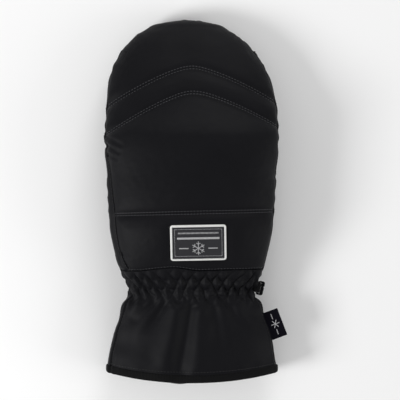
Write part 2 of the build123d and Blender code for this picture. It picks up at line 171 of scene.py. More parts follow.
def two_tones(tree, shader, share, low, high):
    """Colours the surface from a low tone to a high one."""
    mixed = add_node(tree, "ShaderNodeMix", links={"Factor": share}, data_type="RGBA")
    mixed.inputs["A"].default_value = linear(low)
    mixed.inputs["B"].default_value = linear(high)
    tree.links.new(mixed.outputs["Result"], shader.inputs["Base Color"])


def cloudy(tree, scale, detail, distortion=0.0):
    """A soft irregular noise in the piece's own space."""
    place = add_node(tree, "ShaderNodeTexCoord")
    made = add_node(
        tree,
        "ShaderNodeTexNoise",
        links={"Vector": place.outputs["Object"]},
        inputs={"Scale": scale, "Detail": detail, "Distortion": distortion},
    )
    return made.outputs["Fac"]


WAVES_PER_METRE = 3.2  # how often a wave texture of scale 1 repeats


def ribbed(tree, size, direction, distortion, detail, on_cloth=False):
    """Parallel ribs of one size, on the cloth's own UV or in the piece's own space."""
    if on_cloth:
        vector = add_node(tree, "ShaderNodeUVMap", uv_map="cloth").outputs["UV"]
    else:
        vector = add_node(tree, "ShaderNodeTexCoord").outputs["Object"]
    made = add_node(
        tree,
        "ShaderNodeTexWave",
        links={"Vector": vector},
        inputs={"Scale": 1 / (size * WAVES_PER_METRE), "Distortion": distortion, "Detail": detail},
        bands_direction=direction,
    )
    return made.outputs["Fac"]


# %% [markdown]
# ## The body's sections
#
# A mitten's hand, wrist and cuff are one flattened tube. The CAD panels already have the right
# size, so they are cut by planes across the hand, and each cut gives a middle, a half width and a
# half height. A point on the tube is then found from how far across and how far along it is.

# %% Cut the CAD panels across the hand
BACK_NODES = ["back_tip_panel", "back_chevron_panel", "back_hand_panel", "back_label_panel"]
BACK_NODES += ["cuff_back_panel"]
PALM_NODES = ["palm_panel", "cuff_palm_panel"]
RING_NODES = ["wrist_band", "thumb_side_gusset"]


def cut_edges(names):
    """Both ends of every edge of some CAD nodes."""
    ends = []
    for name in names:
        mesh = frame["nodes"][name].data
        co = np.empty(len(mesh.vertices) * 3)
        mesh.vertices.foreach_get("co", co)
        pairs = np.empty(len(mesh.edges) * 2, int)
        mesh.edges.foreach_get("vertices", pairs)
        ends.append(co.reshape(-1, 3)[pairs.reshape(-1, 2)])
    return np.concatenate(ends)


def cut(ends, y):
    """The points where a plane across the hand meets the edges."""
    a, b = ends[:, 0], ends[:, 1]
    hit = (a[:, 1] - y) * (b[:, 1] - y) < 0
    a, b = a[hit], b[hit]
    share = ((y - a[:, 1]) / (b[:, 1] - a[:, 1]))[:, None]
    return a + share * (b - a)


back_ends, palm_ends, ring_ends = (cut_edges(n) for n in (BACK_NODES, PALM_NODES, RING_NODES))
HEM_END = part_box("hem_binding")[0][1]
TIP_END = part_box("back_tip_panel")[1][1] + 1.0 * MM
stations, measured = [], []
for y in np.arange(HEM_END + 12 * MM, TIP_END - 4 * MM, 1.5 * MM):
    back, palm, ring = (cut(e, y) for e in (back_ends, palm_ends, ring_ends))
    every = np.concatenate([back, palm, ring])
    if len(back) and len(palm):
        middle_z = (back[:, 2].min() + palm[:, 2].max()) / 2
    else:
        middle_z = (every[:, 2].min() + every[:, 2].max()) / 2
    low_x, high_x = every[:, 0].min(), every[:, 0].max()
    stations.append(y)
    measured.append([(low_x + high_x) / 2, (high_x - low_x) / 2, middle_z, every[:, 2].max() - middle_z])
stations, measured = np.array(stations), np.array(measured)
kernel = np.array([1, 2, 3, 2, 1]) / 9
for k in range(4):
    padded_row = np.pad(measured[:, k], 2, mode="edge")
    measured[:, k] = np.convolve(padded_row, kernel, mode="valid")
LAST = stations[-1]


def body_section(y):
    """Middle x, half width, middle z and half height at y, closed with a round end at the tip."""
    y = np.asarray(y, float)
    near = [np.interp(y, stations, measured[:, k]) for k in range(4)]
    past = np.sqrt(np.clip((TIP_END - y) / (TIP_END - LAST), 0, 1))
    past = np.where(y > LAST, past, 1.0)
    return near[0], near[1] * past, near[2], near[3] * past


print("sections", len(stations), "widest", round(measured[:, 1].max() * 2000, 1), "mm")

# %% [markdown]
# ## The hand's grid
#
# Each seam across the back is a key row: where it meets the outline on both sides, and how far
# its middle rises over the straight line between those ends. Rows between two seams blend from
# one to the next, and the last row is the rounded fingertip itself, so the grid has no pole. Two
# rows lie beside each seam, where the two lines of topstitching hold the cloth down.

# %% Seams across the back
WRIST_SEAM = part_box("back_label_panel")[0][1] - 1.4 * MM
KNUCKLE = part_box("back_label_panel")[1][1]
FIRST_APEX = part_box("back_hand_panel")[1][1]
SECOND_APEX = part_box("back_chevron_panel")[1][1]
STITCH_OFFSET = 1.3 * MM
HALF_COLUMNS = 62
GUSSET_COLUMNS = 5
GUSSET_END_ROW_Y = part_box("thumb_side_gusset")[1][1] - 2 * MM


def tent(u):
    """A seam's rise: a rounded point with slightly bowed arms, 1 in the middle and 0 at the ends."""
    round_off = 0.16
    point = (math.hypot(1, round_off) - np.hypot(u, round_off)) / (math.hypot(1, round_off) - round_off)
    return 0.72 * point + 0.28 * (1 - u * u)


def wrist_wave(u):
    """The wrist seam drawn up and down by the gathers under it."""
    across = [-1.0, -0.72, -0.5, -0.25, -0.1, 0.05, 0.22, 0.5, 1.0]
    rise = [-1.2, -1.0, 0.6, 2.0, 1.0, -0.7, -0.6, 0.0, 0.2]
    smooth = sum(np.interp(u + shift, across, rise) for shift in (-0.06, -0.02, 0.02, 0.06)) / 4
    return smooth * MM


corner_y = TIP_END - 24 * MM
side_y = np.linspace(TIP_END - 50 * MM, TIP_END, 400)
side_middle, side_half, _, _ = body_section(side_y)


def outline_y(x, u):
    """The height of the outline over the fingertips at x."""
    left = np.interp(x, (side_middle - side_half), side_y)
    right = np.interp(-x, -(side_middle + side_half), side_y)
    return np.where(u < 0, left, right)


def corner_x(side):
    """The outline's corner on one side, where the rows of the fingertips begin."""
    middle_x, half, _, _ = body_section(corner_y)
    return middle_x + side * half


def tip_arc(u):
    """How far the fingertips' outline rises over the line between the two corners."""
    left, right = corner_x(-1), corner_x(1)
    return outline_y((left + right) / 2 + (right - left) / 2 * u, u) - corner_y


# key rows: y on the left, y on the right, rise on the back, rise on the palm, rows up to it
KEYS = [
    (WRIST_SEAM, WRIST_SEAM, wrist_wave, lambda u: 0 * u, 0),
    (KNUCKLE - 1.8 * MM, KNUCKLE + 1.4 * MM, lambda u: 0 * u, lambda u: 0 * u, 20),
    (
        FIRST_APEX - 31 * MM,
        FIRST_APEX - 24 * MM,
        lambda u: 30.5 * MM * tent(u),
        lambda u: 0 * u,
        36,
    ),
    (
        SECOND_APEX - 29.5 * MM,
        SECOND_APEX - 26 * MM,
        lambda u: 29.5 * MM * tent(u),
        lambda u: 0 * u,
        11,
    ),
    (corner_y, corner_y, tip_arc, tip_arc, 24),
]
print("seams at", [round(float(k[0]) * 1000, 1) for k in KEYS])


# %% Rows between the seams
def row_shares():
    """For every row, the key it starts from and how far it is on the way to the next."""
    rows, seam_rows = [(0, 0.0)], [0]
    for k in range(1, len(KEYS)):
        count = KEYS[k][4]
        span = KEYS[k][0] + float(KEYS[k][2](np.array(0.0)))
        span -= KEYS[k - 1][0] + float(KEYS[k - 1][2](np.array(0.0)))
        side = STITCH_OFFSET / span
        inner = np.linspace(side, 1 - side, count - 1) if k < len(KEYS) - 1 else None
        if inner is None:
            turn = np.linspace(0, math.pi / 2, count)
            inner = side + (1 - side) * np.sin(turn[:-1])
        rows += [(k - 1, float(t)) for t in inner] + [(k - 1, 1.0)]
        seam_rows.append(len(rows) - 1)
    return rows, seam_rows


ROWS, SEAM_ROWS = row_shares()


def gusset_angle(y, half):
    """The share of the half turn that the thumb-side strip takes up at y."""
    offset = np.interp(
        y * 1000, [-56, -47, -36, -26, -10, 15, 40, 52], [8.5, 5.2, 3.4, 3.6, 4.2, 2.4, 1.0, 0.6]
    )
    narrow = np.arccos(np.clip(1 - offset * MM / np.maximum(half, 1e-6), -1, 1)) / math.pi
    back_to_even = np.clip((y * 1000 - 54) / 30, 0, 1)
    even = GUSSET_COLUMNS / HALF_COLUMNS
    return narrow + (even - narrow) * back_to_even**2 * (3 - 2 * back_to_even)


def hand_row(key, share, palm):
    """One row's points from the thumb's side to the other, on the back or the palm."""
    a, b = KEYS[key], KEYS[min(key + 1, len(KEYS) - 1)]
    left_y, right_y = a[0] + share * (b[0] - a[0]), a[1] + share * (b[1] - a[1])
    left_x = np.subtract(*[body_section(left_y)[k] for k in (0, 1)])
    right_x = np.add(*[body_section(right_y)[k] for k in (0, 1)])
    strip = gusset_angle(left_y, body_section(left_y)[1])
    k = np.arange(HALF_COLUMNS + 1)
    even = strip + (1 - strip) * (k - GUSSET_COLUMNS) / (HALF_COLUMNS - GUSSET_COLUMNS)
    turn = np.where(k <= GUSSET_COLUMNS, strip * k / GUSSET_COLUMNS, even)
    u = -np.cos(math.pi * turn)
    rise = a[3 if palm else 2](u) * (1 - share) + b[3 if palm else 2](u) * share
    x = (left_x + right_x) / 2 + (right_x - left_x) / 2 * u
    y = left_y + (right_y - left_y) * (u + 1) / 2 + rise
    middle_x, half, middle_z, height = body_section(y)
    across = np.clip((x - middle_x) / half, -1, 1)
    lift = height * np.sqrt(1 - across**2)
    lift[0] = lift[-1] = 0
    if key == len(KEYS) - 2 and share >= 1:
        lift[:] = 0
    z = middle_z - lift if palm else middle_z + lift
    return np.stack([x, y, np.maximum(z, 0.3 * MM)], 1)


def hand_grid():
    """The hand as a loop of points per row, and the outline's own row on its own at the end."""
    loops = []
    for key, share in ROWS[:-1]:
        back, palm = hand_row(key, share, False), hand_row(key, share, True)
        loops.append(np.concatenate([back, palm[-2:0:-1]]))
    return np.array(loops), hand_row(*ROWS[-1], False)


loops, tip_row = hand_grid()
COLUMNS = loops.shape[1]
print("hand grid", loops.shape, "seam rows", SEAM_ROWS)

# %% [markdown]
# ## Puffing the panels
#
# Padding pushes each panel out between its seams, while the stitches hold it down, and the spare
# cloth puckers beside the thread. That is what cloth simulation does well. The seams, the
# outline and the ring around the thumb are pinned a little below the CAD surface, the cloth is
# cut about one percent too large, and pressure from inside fills it. A cap on how far a point may
# move keeps the hand the size that the CAD says.

# %% Which points are sewn down
full = np.concatenate([loops, np.concatenate([tip_row, tip_row[-2:0:-1]])[None]])
GRID_ROWS = len(full)
GUSSET_ROW = int(np.argmin(np.abs(full[:, 0, 1] - GUSSET_END_ROW_Y)))
THUMB_CENTRE = (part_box("thumb_collar")[0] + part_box("thumb_collar")[1]) / 2
THUMB_RING = 15 * MM


def loop_normals(points):
    """Outward normals of a grid whose columns close into loops."""
    along = np.gradient(points, axis=0)
    around = np.roll(points, -1, 1) - np.roll(points, 1, 1)
    cross = np.cross(around, along)
    cross[-1] = cross[-2]
    size = np.linalg.norm(cross, axis=2, keepdims=True)
    return cross / np.maximum(size, 1e-12)


def sewn_points():
    """True where the hand's cloth is held: seams, stitch rows, side seams, thumb ring."""
    held = np.zeros(full.shape[:2], bool)
    held[[0, 1, -1]] = True
    for row in SEAM_ROWS[1:-1]:
        held[row - 1 : row + 2, GUSSET_COLUMNS : HALF_COLUMNS + 1] = True
    held[GUSSET_ROW:, :GUSSET_COLUMNS] |= held[GUSSET_ROW:, [GUSSET_COLUMNS]]
    held[:, HALF_COLUMNS] = True
    held[GUSSET_ROW:, 0] = True
    held[: GUSSET_ROW + 1, [GUSSET_COLUMNS, COLUMNS - GUSSET_COLUMNS]] = True
    flat_distance = np.hypot(full[..., 0] - THUMB_CENTRE.x, full[..., 1] - THUMB_CENTRE.y)
    held[:, HALF_COLUMNS + 1 :] |= flat_distance[:, HALF_COLUMNS + 1 :] < THUMB_RING
    return held


label_low, label_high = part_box("label_border")
label_middle = (label_low + label_high) / 2


def under_label():
    """True under the label, whose edge stitching holds the cloth against its back."""
    beside = [np.abs(full[..., k] - label_middle[k]) < (label_high - label_low)[k] / 2 for k in (0, 1)]
    flat = beside[0] & beside[1]
    flat[:, HALF_COLUMNS + 1 :] = False
    return flat


flat_under_label = under_label()
sewn = sewn_points() | flat_under_label
distance = np.full(sewn.shape, 1.0)
held_places = full[sewn]
for row in range(GRID_ROWS):
    gaps = full[row][:, None, :] - held_places[None]
    distance[row] = np.linalg.norm(gaps, axis=2).min(1)
print("sewn points", int(sewn.sum()), "of", sewn.size)

# %% Shape before the simulation
SEAM_DEPTH = 1.15 * MM
random = np.random.default_rng(7)
normals = loop_normals(full)
on_outline = np.zeros(sewn.shape, bool)
on_outline[:, HALF_COLUMNS] = on_outline[GUSSET_ROW:, 0] = on_outline[-2:] = True
depth = np.where(flat_under_label, 0.1 * MM, np.where(sewn, SEAM_DEPTH, 0.0))
depth = np.where(on_outline, -0.3 * MM, depth)
puffed = full - normals * depth[..., None]
puff = 1.3 * MM * (1 - np.exp(-distance / (7 * MM))) - SEAM_DEPTH * np.exp(-distance / (2.5 * MM))
rough = random.normal(0, 0.05 * MM, sewn.shape)
puffed = puffed + normals * np.where(sewn, 0.0, puff + rough)[..., None]
puffed[0] = full[0]
puffed[-1] = full[-1] + (full[-1] - full[-2]) * 0.3
puffed[-1] = (puffed[-1] + puffed[-1][(COLUMNS - np.arange(COLUMNS)) % COLUMNS]) / 2
puffed[..., 2] = np.maximum(puffed[..., 2], 0.4 * MM)


def loop_index(rows, columns, closed_tip):
    """The vertex number of every grid point. A closed tip shares its last row between both sides."""
    index = np.arange(rows * columns).reshape(rows, columns)
    if closed_tip:
        half = columns // 2
        index[-1, half + 1 :] = index[-1, 1:half][::-1]
    return index


def loop_faces(index, rows, columns):
    """Quads of a grid of loops, for ranges of rows and columns."""
    faces = []
    width = index.shape[1]
    for r in rows:
        for c in columns:
            d = (c + 1) % width
            quad = (index[r, c % width], index[r, d], index[r + 1, d], index[r + 1, c % width])
            if len(set(quad)) > 2:
                faces.append(tuple(int(v) for v in dict.fromkeys(quad)))
    return faces


# %% Simulate the padded hand
def simulate(points, held, growth, pressure, steps, closed_tip):
    """Pressure cloth on a grid of loops, with its sewn points pinned. Returns the new points."""
    rows, columns = held.shape
    index = loop_index(rows, columns, closed_tip)
    mesh = bpy.data.meshes.new("cloth_try")
    faces = loop_faces(index, range(rows - 1), range(columns))
    mesh.from_pydata(points.reshape(-1, 3).tolist(), [], faces)
    obj = bpy.data.objects.new("cloth_try", mesh)
    scene.collection.objects.link(obj)
    pins = obj.vertex_groups.new(name="sewn")
    pins.add(np.flatnonzero(held).tolist(), 1.0, "REPLACE")
    cloth = obj.modifiers.new("cloth", "CLOTH")
    settings = cloth.settings
    settings.quality = 5
    settings.mass = 0.2
    settings.tension_stiffness = 15
    settings.compression_stiffness = 15
    settings.shear_stiffness = 5
    settings.bending_stiffness = 2.0
    settings.shrink_min = -growth
    settings.vertex_group_mass = "sewn"
    settings.pin_stiffness = 1.0
    settings.use_pressure = pressure > 0
    settings.uniform_pressure_force = pressure
    settings.effector_weights.gravity = 0
    cloth.collision_settings.use_collision = False
    cloth.point_cache.frame_start, cloth.point_cache.frame_end = 1, steps
    for step in range(1, steps + 1):
        scene.frame_set(step)
    evaluated = obj.evaluated_get(bpy.context.evaluated_depsgraph_get())
    found = np.empty(len(evaluated.data.vertices) * 3)
    evaluated.data.vertices.foreach_get("co", found)
    found = found.reshape(rows, columns, 3)
    if closed_tip:
        half = columns // 2
        found[-1, half + 1 :] = found[-1, 1:half][::-1]
    bpy.data.objects.remove(obj)
    scene.frame_set(1)
    return found


def capped(start, moved, most):
    """The move from start, never longer than most."""
    step = moved - start
    size = np.linalg.norm(step, axis=2, keepdims=True)
    return start + step * np.minimum(1, most / np.maximum(size, 1e-9))


hand = simulate(puffed, sewn, growth=0.012, pressure=4.0, steps=20, closed_tip=True)
print("cloth moved up to", round(float(np.linalg.norm(hand - puffed, axis=2).max() * 1000), 1), "mm")
moved = capped(puffed, hand, 4.0 * MM) - puffed
for _ in range(7):
    near = np.roll(moved, 1, 1) + np.roll(moved, -1, 1) + 2 * moved
    near[1:-1] = (near[:-2] + near[2:] + 2 * near[1:-1]) / 4
    moved = np.where(sewn[..., None], moved, near / 4)
moved[-1] = 0
hand = puffed + 0.8 * moved
hand[..., 2] = np.maximum(hand[..., 2], 0.4 * MM)
on_thumb = np.clip((full[..., 2] / MM - 14) / 3, 0, 1)
on_thumb[:, : HALF_COLUMNS + 1] = 0
hand[..., 2] = np.maximum(hand[..., 2], full[..., 2] - (3.4 - 3.0 * on_thumb) * MM)

reach = np.clip((hand[..., 1] - 100 * MM) / (TIP_END - 100 * MM), 0, 1)
hand[..., 1] += 1.7 * MM * reach**2
across_out = np.sign(hand[..., 0] - THUMB_CENTRE.x - 38 * MM)
past_seam = np.arange(COLUMNS) % HALF_COLUMNS
edge_share = np.exp(-np.minimum(past_seam, HALF_COLUMNS - past_seam) / 2.0)
pucker = np.sin(hand[..., 1] / MM * 0.42 + 2 * np.sin(hand[..., 1] / MM * 0.11)) * 0.35 * MM
hand[..., 0] += across_out * edge_share[None] * pucker * np.clip((hand[..., 1] + 40 * MM) / (60 * MM), 0, 1)
tip_pucker = np.sin(hand[-1, :, 0] / MM * 0.37 + 1.5 * np.sin(hand[-1, :, 0] / MM * 0.13)) * 0.55 * MM
hand[-1, :, 1] += tip_pucker
hand[-2, :, 1] += tip_pucker * 0.8

# %% [markdown]
# ## From grid to cloth panels
#
# The simulated grid is made twice as fine with a smooth curve through its points. A panel is a
# patch of that grid with a second, inner face and a closed edge all round, so it is a real sheet
# of cloth and not a paper-thin surface. Its UV map holds true lengths along and across the
# cloth, in metres, so that a weave keeps its size and follows every fold.


# %% Finer grids and closed panels
def finer(points, times, loop=True):
    """A grid with times the rows and columns, on smooth curves through its points."""

    def along(p, axis_loop):
        """Catmull-Rom curves through the points along the first axis."""
        before = np.roll(p, 1, 0) if axis_loop else np.concatenate([2 * p[:1] - p[1:2], p[:-1]])
        after = np.roll(p, -1, 0) if axis_loop else np.concatenate([p[1:], 2 * p[-1:] - p[-2:-1]])
        later = np.roll(p, -2, 0) if axis_loop else np.concatenate([after[1:], 2 * after[-1:] - p[-1:]])
        made = []
        for k in range(times):
            t = k / times
            made.append(
                p
                + t * (after - before) / 2
                + t * t * (2 * before - 5 * p + 4 * after - later) / 2
                + t * t * t * (3 * p - 3 * after + later - before) / 2
            )
        woven = np.stack(made, 1).reshape(-1, *p.shape[1:])
        return woven if axis_loop else woven[: (len(p) - 1) * times + 1]

    return np.swapaxes(along(np.swapaxes(along(points, False), 0, 1), loop), 0, 1)


def cloth_lengths(points):
    """For each grid point, the cloth's length around and along, in metres."""
    around = np.linalg.norm(np.roll(points, -1, 1) - points, axis=2).mean(0)
    along = np.linalg.norm(np.diff(points, axis=0), axis=2).mean(1)
    u = np.concatenate([[0], np.cumsum(around)[:-1]])
    v = np.concatenate([[0], np.cumsum(along)])
    return np.broadcast_to(u, points.shape[:2]), np.broadcast_to(v[:, None], points.shape[:2])


def link_object(name, mesh):
    """A new object from a mesh, linked to the scene."""
    obj = bpy.data.objects.new(name, mesh)
    scene.collection.objects.link(obj)
    return obj


def smooth_piece(name, points, faces, material, flat=None, turn_out=False):
    """A smooth mesh with its finish. flat is each point's place on the cloth, in metres."""
    mesh = bpy.data.meshes.new(name)
    mesh.from_pydata(np.reshape(points, (-1, 3)).tolist(), [], faces)
    if flat is not None:
        uv = mesh.uv_layers.new(name="cloth")
        corners = np.empty(len(mesh.loops), int)
        mesh.loops.foreach_get("vertex_index", corners)
        uv.data.foreach_set("uv", flat[corners].ravel())
    if turn_out:
        made = bmesh.new()
        made.from_mesh(mesh)
        bmesh.ops.recalc_face_normals(made, faces=made.faces)
        made.to_mesh(mesh)
        made.free()
    mesh.polygons.foreach_set("use_smooth", [True] * len(mesh.polygons))
    mesh.materials.append(material)
    return link_object(name, mesh)


def closed_panel(name, outer, inner, faces, lengths, material, crisp=False):
    """A closed sheet of cloth from grid faces, its outer and its inner points.

    A crisp edge keeps the sheet's own shading up to its end, as where two sheets run on."""
    used = sorted({v for f in faces for v in f})
    number = {v: k for k, v in enumerate(used)}
    count = len(used)
    top = [tuple(number[v] for v in f) for f in faces]
    under = [tuple(v + count for v in reversed(f)) for f in top]
    sides = {}
    for f in top:
        for a, b in zip(f, f[1:] + f[:1]):
            if (b, a) in sides:
                del sides[(b, a)]
            else:
                sides[(a, b)] = True
    rim = [(b, a, a + count, b + count) for a, b in sides]
    points = np.concatenate([outer.reshape(-1, 3)[used], inner.reshape(-1, 3)[used]])
    flat = np.stack([lengths[0].reshape(-1)[used], lengths[1].reshape(-1)[used]], 1)
    made = smooth_piece(name, points, top + under + rim, material, np.concatenate([flat, flat]))
    if crisp:
        ends = {frozenset(side) for side in sides}
        edge_ends = [frozenset(edge.vertices) for edge in made.data.edges]
        sharp = made.data.attributes.new("sharp_edge", "BOOLEAN", "EDGE")
        sharp.data.foreach_set("value", [e in ends for e in edge_ends])
    return made


def dress(piece, node=None, body="mitten"):
    """Hides the CAD node that a piece stands for, and attaches the piece to its body."""
    if node:
        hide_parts(node)
    if body:
        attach(piece, body)


# %% [markdown]
# ## Finish: water-repellent nylon
#
# The shell is a tightly woven nylon with a matt water-repellent coating. To the eye it is a very
# dark, faintly bluish grey with a soft sheen at grazing angles and no hard highlights. Its
# threads are 0.3 mm apart, too fine to show, so the weave is drawn at 0.8 mm.


# %% Woven cloth finishes
def woven(name, colour, mottle, thread, roughness, sheen):
    """A plain weave: ribs both ways across the cloth's own UV, and a slow colour mottle."""
    material, tree, shader = start_material(
        name, Roughness=roughness, Sheen_Weight=sheen, Sheen_Roughness=0.45, Specular_IOR_Level=0.09
    )
    weave = add_node(tree, "ShaderNodeMath", operation="ADD")
    for k, direction in enumerate("XY"):
        tree.links.new(ribbed(tree, thread, direction, 0.6, 1.0, on_cloth=True), weave.inputs[k])
    emboss(tree, shader, weave.outputs["Value"], 0.06 * MM)
    two_tones(tree, shader, cloudy(tree, 45.0, 3.0), colour, mottle)
    return material


def grained(name, colour, shade, grain, roughness, relief):
    """Coated synthetic leather: a Voronoi pebble grain, with painted shade darkening the grooves between
    pebbles.
    """
    material, tree, shader = start_material(name, Roughness=roughness, Specular_IOR_Level=0.25)
    place = add_node(tree, "ShaderNodeTexCoord")
    pebble = add_node(
        tree,
        "ShaderNodeTexVoronoi",
        links={"Vector": place.outputs["Object"]},
        inputs={"Scale": 1 / grain},
        feature="DISTANCE_TO_EDGE",
    )
    groove = add_node(
        tree,
        "ShaderNodeMapRange",
        links={"Value": pebble.outputs["Distance"]},
        inputs={"From Max": 0.22},
    )
    # Painted shade: the grooves between pebbles take the darker shade tone, on top of the bump that lowers
    # them.
    two_tones(tree, shader, groove.outputs["Result"], shade, colour)
    emboss(tree, shader, groove.outputs["Result"], relief)
    return material


nylon = woven("water_repellent_nylon", "0e0e11", "131316", 0.8 * MM, 0.5, 0.0)

# %% Cut the hand into its panels
FINE = 2
fine_hand = finer(hand, FINE)
fine_normals = loop_normals(fine_hand)
fine_columns = fine_hand.shape[1]
half_fine = fine_columns // 2
for grid in (fine_hand, fine_normals):
    grid[-1, half_fine + 1 :] = grid[-1, 1:half_fine][::-1]
tip_line = fine_hand[-1]
fine_normals[-1] = np.array([0, 0.7, 0])
fine_normals[-1, :, 0] += 12 * (tip_line[:, 0] - tip_line[half_fine // 2, 0])
fine_normals[-1] /= np.linalg.norm(fine_normals[-1], axis=1, keepdims=True)


def crease(start, end, width, depth):
    """A short crease in the cloth of the back, between two places in millimetres."""
    a, b = np.array(start) * MM, np.array(end) * MM
    line = b - a
    share = np.clip(((fine_hand[..., :2] - a) @ line) / (line @ line), 0, 1)
    away = np.linalg.norm(fine_hand[..., :2] - a - share[..., None] * line, axis=-1) / (width * MM)
    ridge = np.exp(-(away**2)) - 0.55 * np.exp(-((away - 1.7) ** 2))
    return -depth * MM * ridge * (1 - 0.6 * share)


CREASES = [
    ((-70, 51), (-59, 45), 1.6, 0.8), ((-71, 45), (-61, 39), 1.5, 0.9), ((-70, 38), (-63, 34), 1.3, 0.6),
    ((36, 141), (32, 132), 1.6, 0.5), ((45, 136), (40, 128), 1.5, 0.5), ((53, 128), (47, 121), 1.5, 0.5),
    ((60, 117), (53, 112), 1.5, 0.5), ((-46, 132), (-41, 124), 1.6, 0.5), ((-57, 121), (-51, 115), 1.5, 0.5),
    ((-64, 108), (-57, 104), 1.5, 0.5), ((-60, -40), (-53, -44), 1.4, 0.5), ((64, 20), (57, 17), 1.5, 0.4),
]  # fmt: skip
creased = sum(crease(*one) for one in CREASES)
creased[:, half_fine + 1 :] = creased[-1] = 0
fine_hand = fine_hand + fine_normals * creased[..., None]
fine_normals[:-1] = loop_normals(fine_hand)[:-1]
hand_lengths = cloth_lengths(fine_hand)
hand_index = loop_index(len(fine_hand), fine_columns, True)
SHELL_THICKNESS = 1.0 * MM
hand_inner = fine_hand - fine_normals * SHELL_THICKNESS
GC = GUSSET_COLUMNS * FINE
SEAMS_FINE = [r * FINE for r in SEAM_ROWS]
GUSSET_FINE = GUSSET_ROW * FINE


def hand_faces(low, high, columns):
    """Quads of the fine hand between two rows, for a range of columns."""
    return loop_faces(hand_index, range(low, high), columns)


back_columns = range(0, half_fine)
inside_gusset = range(GC, half_fine)
panel_faces = {
    "back_label_panel": hand_faces(0, SEAMS_FINE[1], inside_gusset),
    "back_hand_panel": hand_faces(SEAMS_FINE[1], GUSSET_FINE, inside_gusset)
    + hand_faces(GUSSET_FINE, SEAMS_FINE[2], back_columns),
    "back_chevron_panel": hand_faces(SEAMS_FINE[2], SEAMS_FINE[3], back_columns),
    "back_tip_panel": hand_faces(SEAMS_FINE[3], len(fine_hand) - 1, back_columns),
    "thumb_side_gusset": hand_faces(0, GUSSET_FINE, range(fine_columns - GC, fine_columns + GC)),
}
for name, faces in panel_faces.items():
    panel = closed_panel(f"{name}_cloth", fine_hand, hand_inner, faces, hand_lengths, nylon)
    dress(panel, name)
    print(panel.name, len(panel.data.polygons), "faces")

# %% The palm, open at the thumb's hole
THUMB_HOLE = 11.6 * MM


def holed(faces, points):
    """The faces, without those inside the thumb's hole in the palm."""
    flat = points.reshape(-1, 3)
    kept = []
    for face in faces:
        x, y, _ = flat[list(face)].mean(0)
        if math.hypot(x - THUMB_CENTRE.x, y - THUMB_CENTRE.y) > THUMB_HOLE:
            kept.append(face)
    return kept


# The third colour is the painted shade in the grain's grooves.
leather = grained("pebbled_synthetic_leather", "0e0e10", "070708", 1.3 * MM, 0.5, 0.00018)
palm_columns = range(half_fine, fine_columns - GC)
palm_faces = hand_faces(0, GUSSET_FINE, palm_columns)
palm_faces += hand_faces(GUSSET_FINE, len(fine_hand) - 1, range(half_fine, fine_columns))
palm_faces = holed(palm_faces, fine_hand)
palm = closed_panel("palm_panel_leather", fine_hand, hand_inner, palm_faces, hand_lengths, leather)
dress(palm, "palm_panel")

# %% [markdown]
# ## Padding
#
# Needled polyester lies behind the back and the palm, between the shell and the waterproof
# insert. Each pad is a closed body: it follows the puffed shell outside and a smaller mitten
# inside, and it is off-white and fibrous where a seam lets it be seen.


# %% Padding inside the hand
def drawn_in(points, inset):
    """The same points on a body that is smaller by inset all round."""
    middle_x, half, middle_z, height = body_section(points[..., 1])
    made = points.copy()
    half_in = np.clip(1 - inset / np.maximum(half, inset), 0.02, 1)
    height_in = np.clip(1 - inset / np.maximum(height, inset), 0.02, 1)
    made[..., 0] = middle_x + (points[..., 0] - middle_x) * half_in
    made[..., 2] = middle_z + (points[..., 2] - middle_z) * height_in
    start = TIP_END - 70 * MM
    share = np.clip((points[..., 1] - start) / (TIP_END - start), 0, 1)
    made[..., 1] -= inset * share**2
    return made


SHELL_GAP = 1.4 * MM
hand_normals = loop_normals(hand)
hand_normals[-1] = fine_normals[-1, ::FINE]
pad_outer = hand - hand_normals * SHELL_GAP
pad_inner = drawn_in(full, 6.4 * MM)
coarse_index = loop_index(GRID_ROWS, COLUMNS, True)
coarse_lengths = cloth_lengths(hand)


def padding_finish():
    """Needled polyester padding: off-white, matt, with a loose tangle of fibres."""
    material, tree, shader = start_material("needled_polyester", "d9d9d4", Roughness=0.95, Sheen_Weight=0.3)
    emboss(tree, shader, cloudy(tree, 1 / (2.5 * MM), 6.0, 2.0), 0.6 * MM)
    return material


padding = padding_finish()
pad_columns = {"back_batting": range(HALF_COLUMNS), "palm_batting": range(HALF_COLUMNS, COLUMNS)}
for name, columns in pad_columns.items():
    faces = loop_faces(coarse_index, range(GRID_ROWS - 1), columns)
    if name == "palm_batting":
        faces = holed(faces, full)
    pad = closed_panel(f"{name}_pad", pad_outer, pad_inner, faces, coarse_lengths, padding)
    dress(pad, name)

# %% [markdown]
# ## Wrist and cuff
#
# Below the hand the same tube narrows to the gathers, where rows of elastic draw the cloth into
# small crossing folds, and flares to the cuff. The folds repeat with the pull of the elastic, so
# they are a pattern pressed into a fine grid: two families of diagonal creases that cross each
# other, bent out of step by a slow noise. The cuff's own folds start in the gathers and run out
# towards the hem.

# %% A grid for the wrist and the cuff
TUBE_COLUMNS = 384
CUFF_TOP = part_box("wrist_band")[0][1]
turns = np.arange(TUBE_COLUMNS) / TUBE_COLUMNS * 2


def tube_row(y):
    """A loop of points round the body at y, which may differ from point to point."""
    middle_x, half, middle_z, height = body_section(y)
    x = middle_x - half * np.cos(math.pi * turns)
    z = middle_z + height * np.sin(math.pi * turns)
    return np.stack([x, y + 0 * x, z], 1)


def hem_y(x):
    """The curved hem: its middle stands lowest."""
    middle_x, half, _, _ = body_section(HEM_END + 12 * MM)
    return HEM_END + 1.0 * MM + 7.4 * MM * np.minimum(((x - middle_x) / half) ** 2, 1.1)


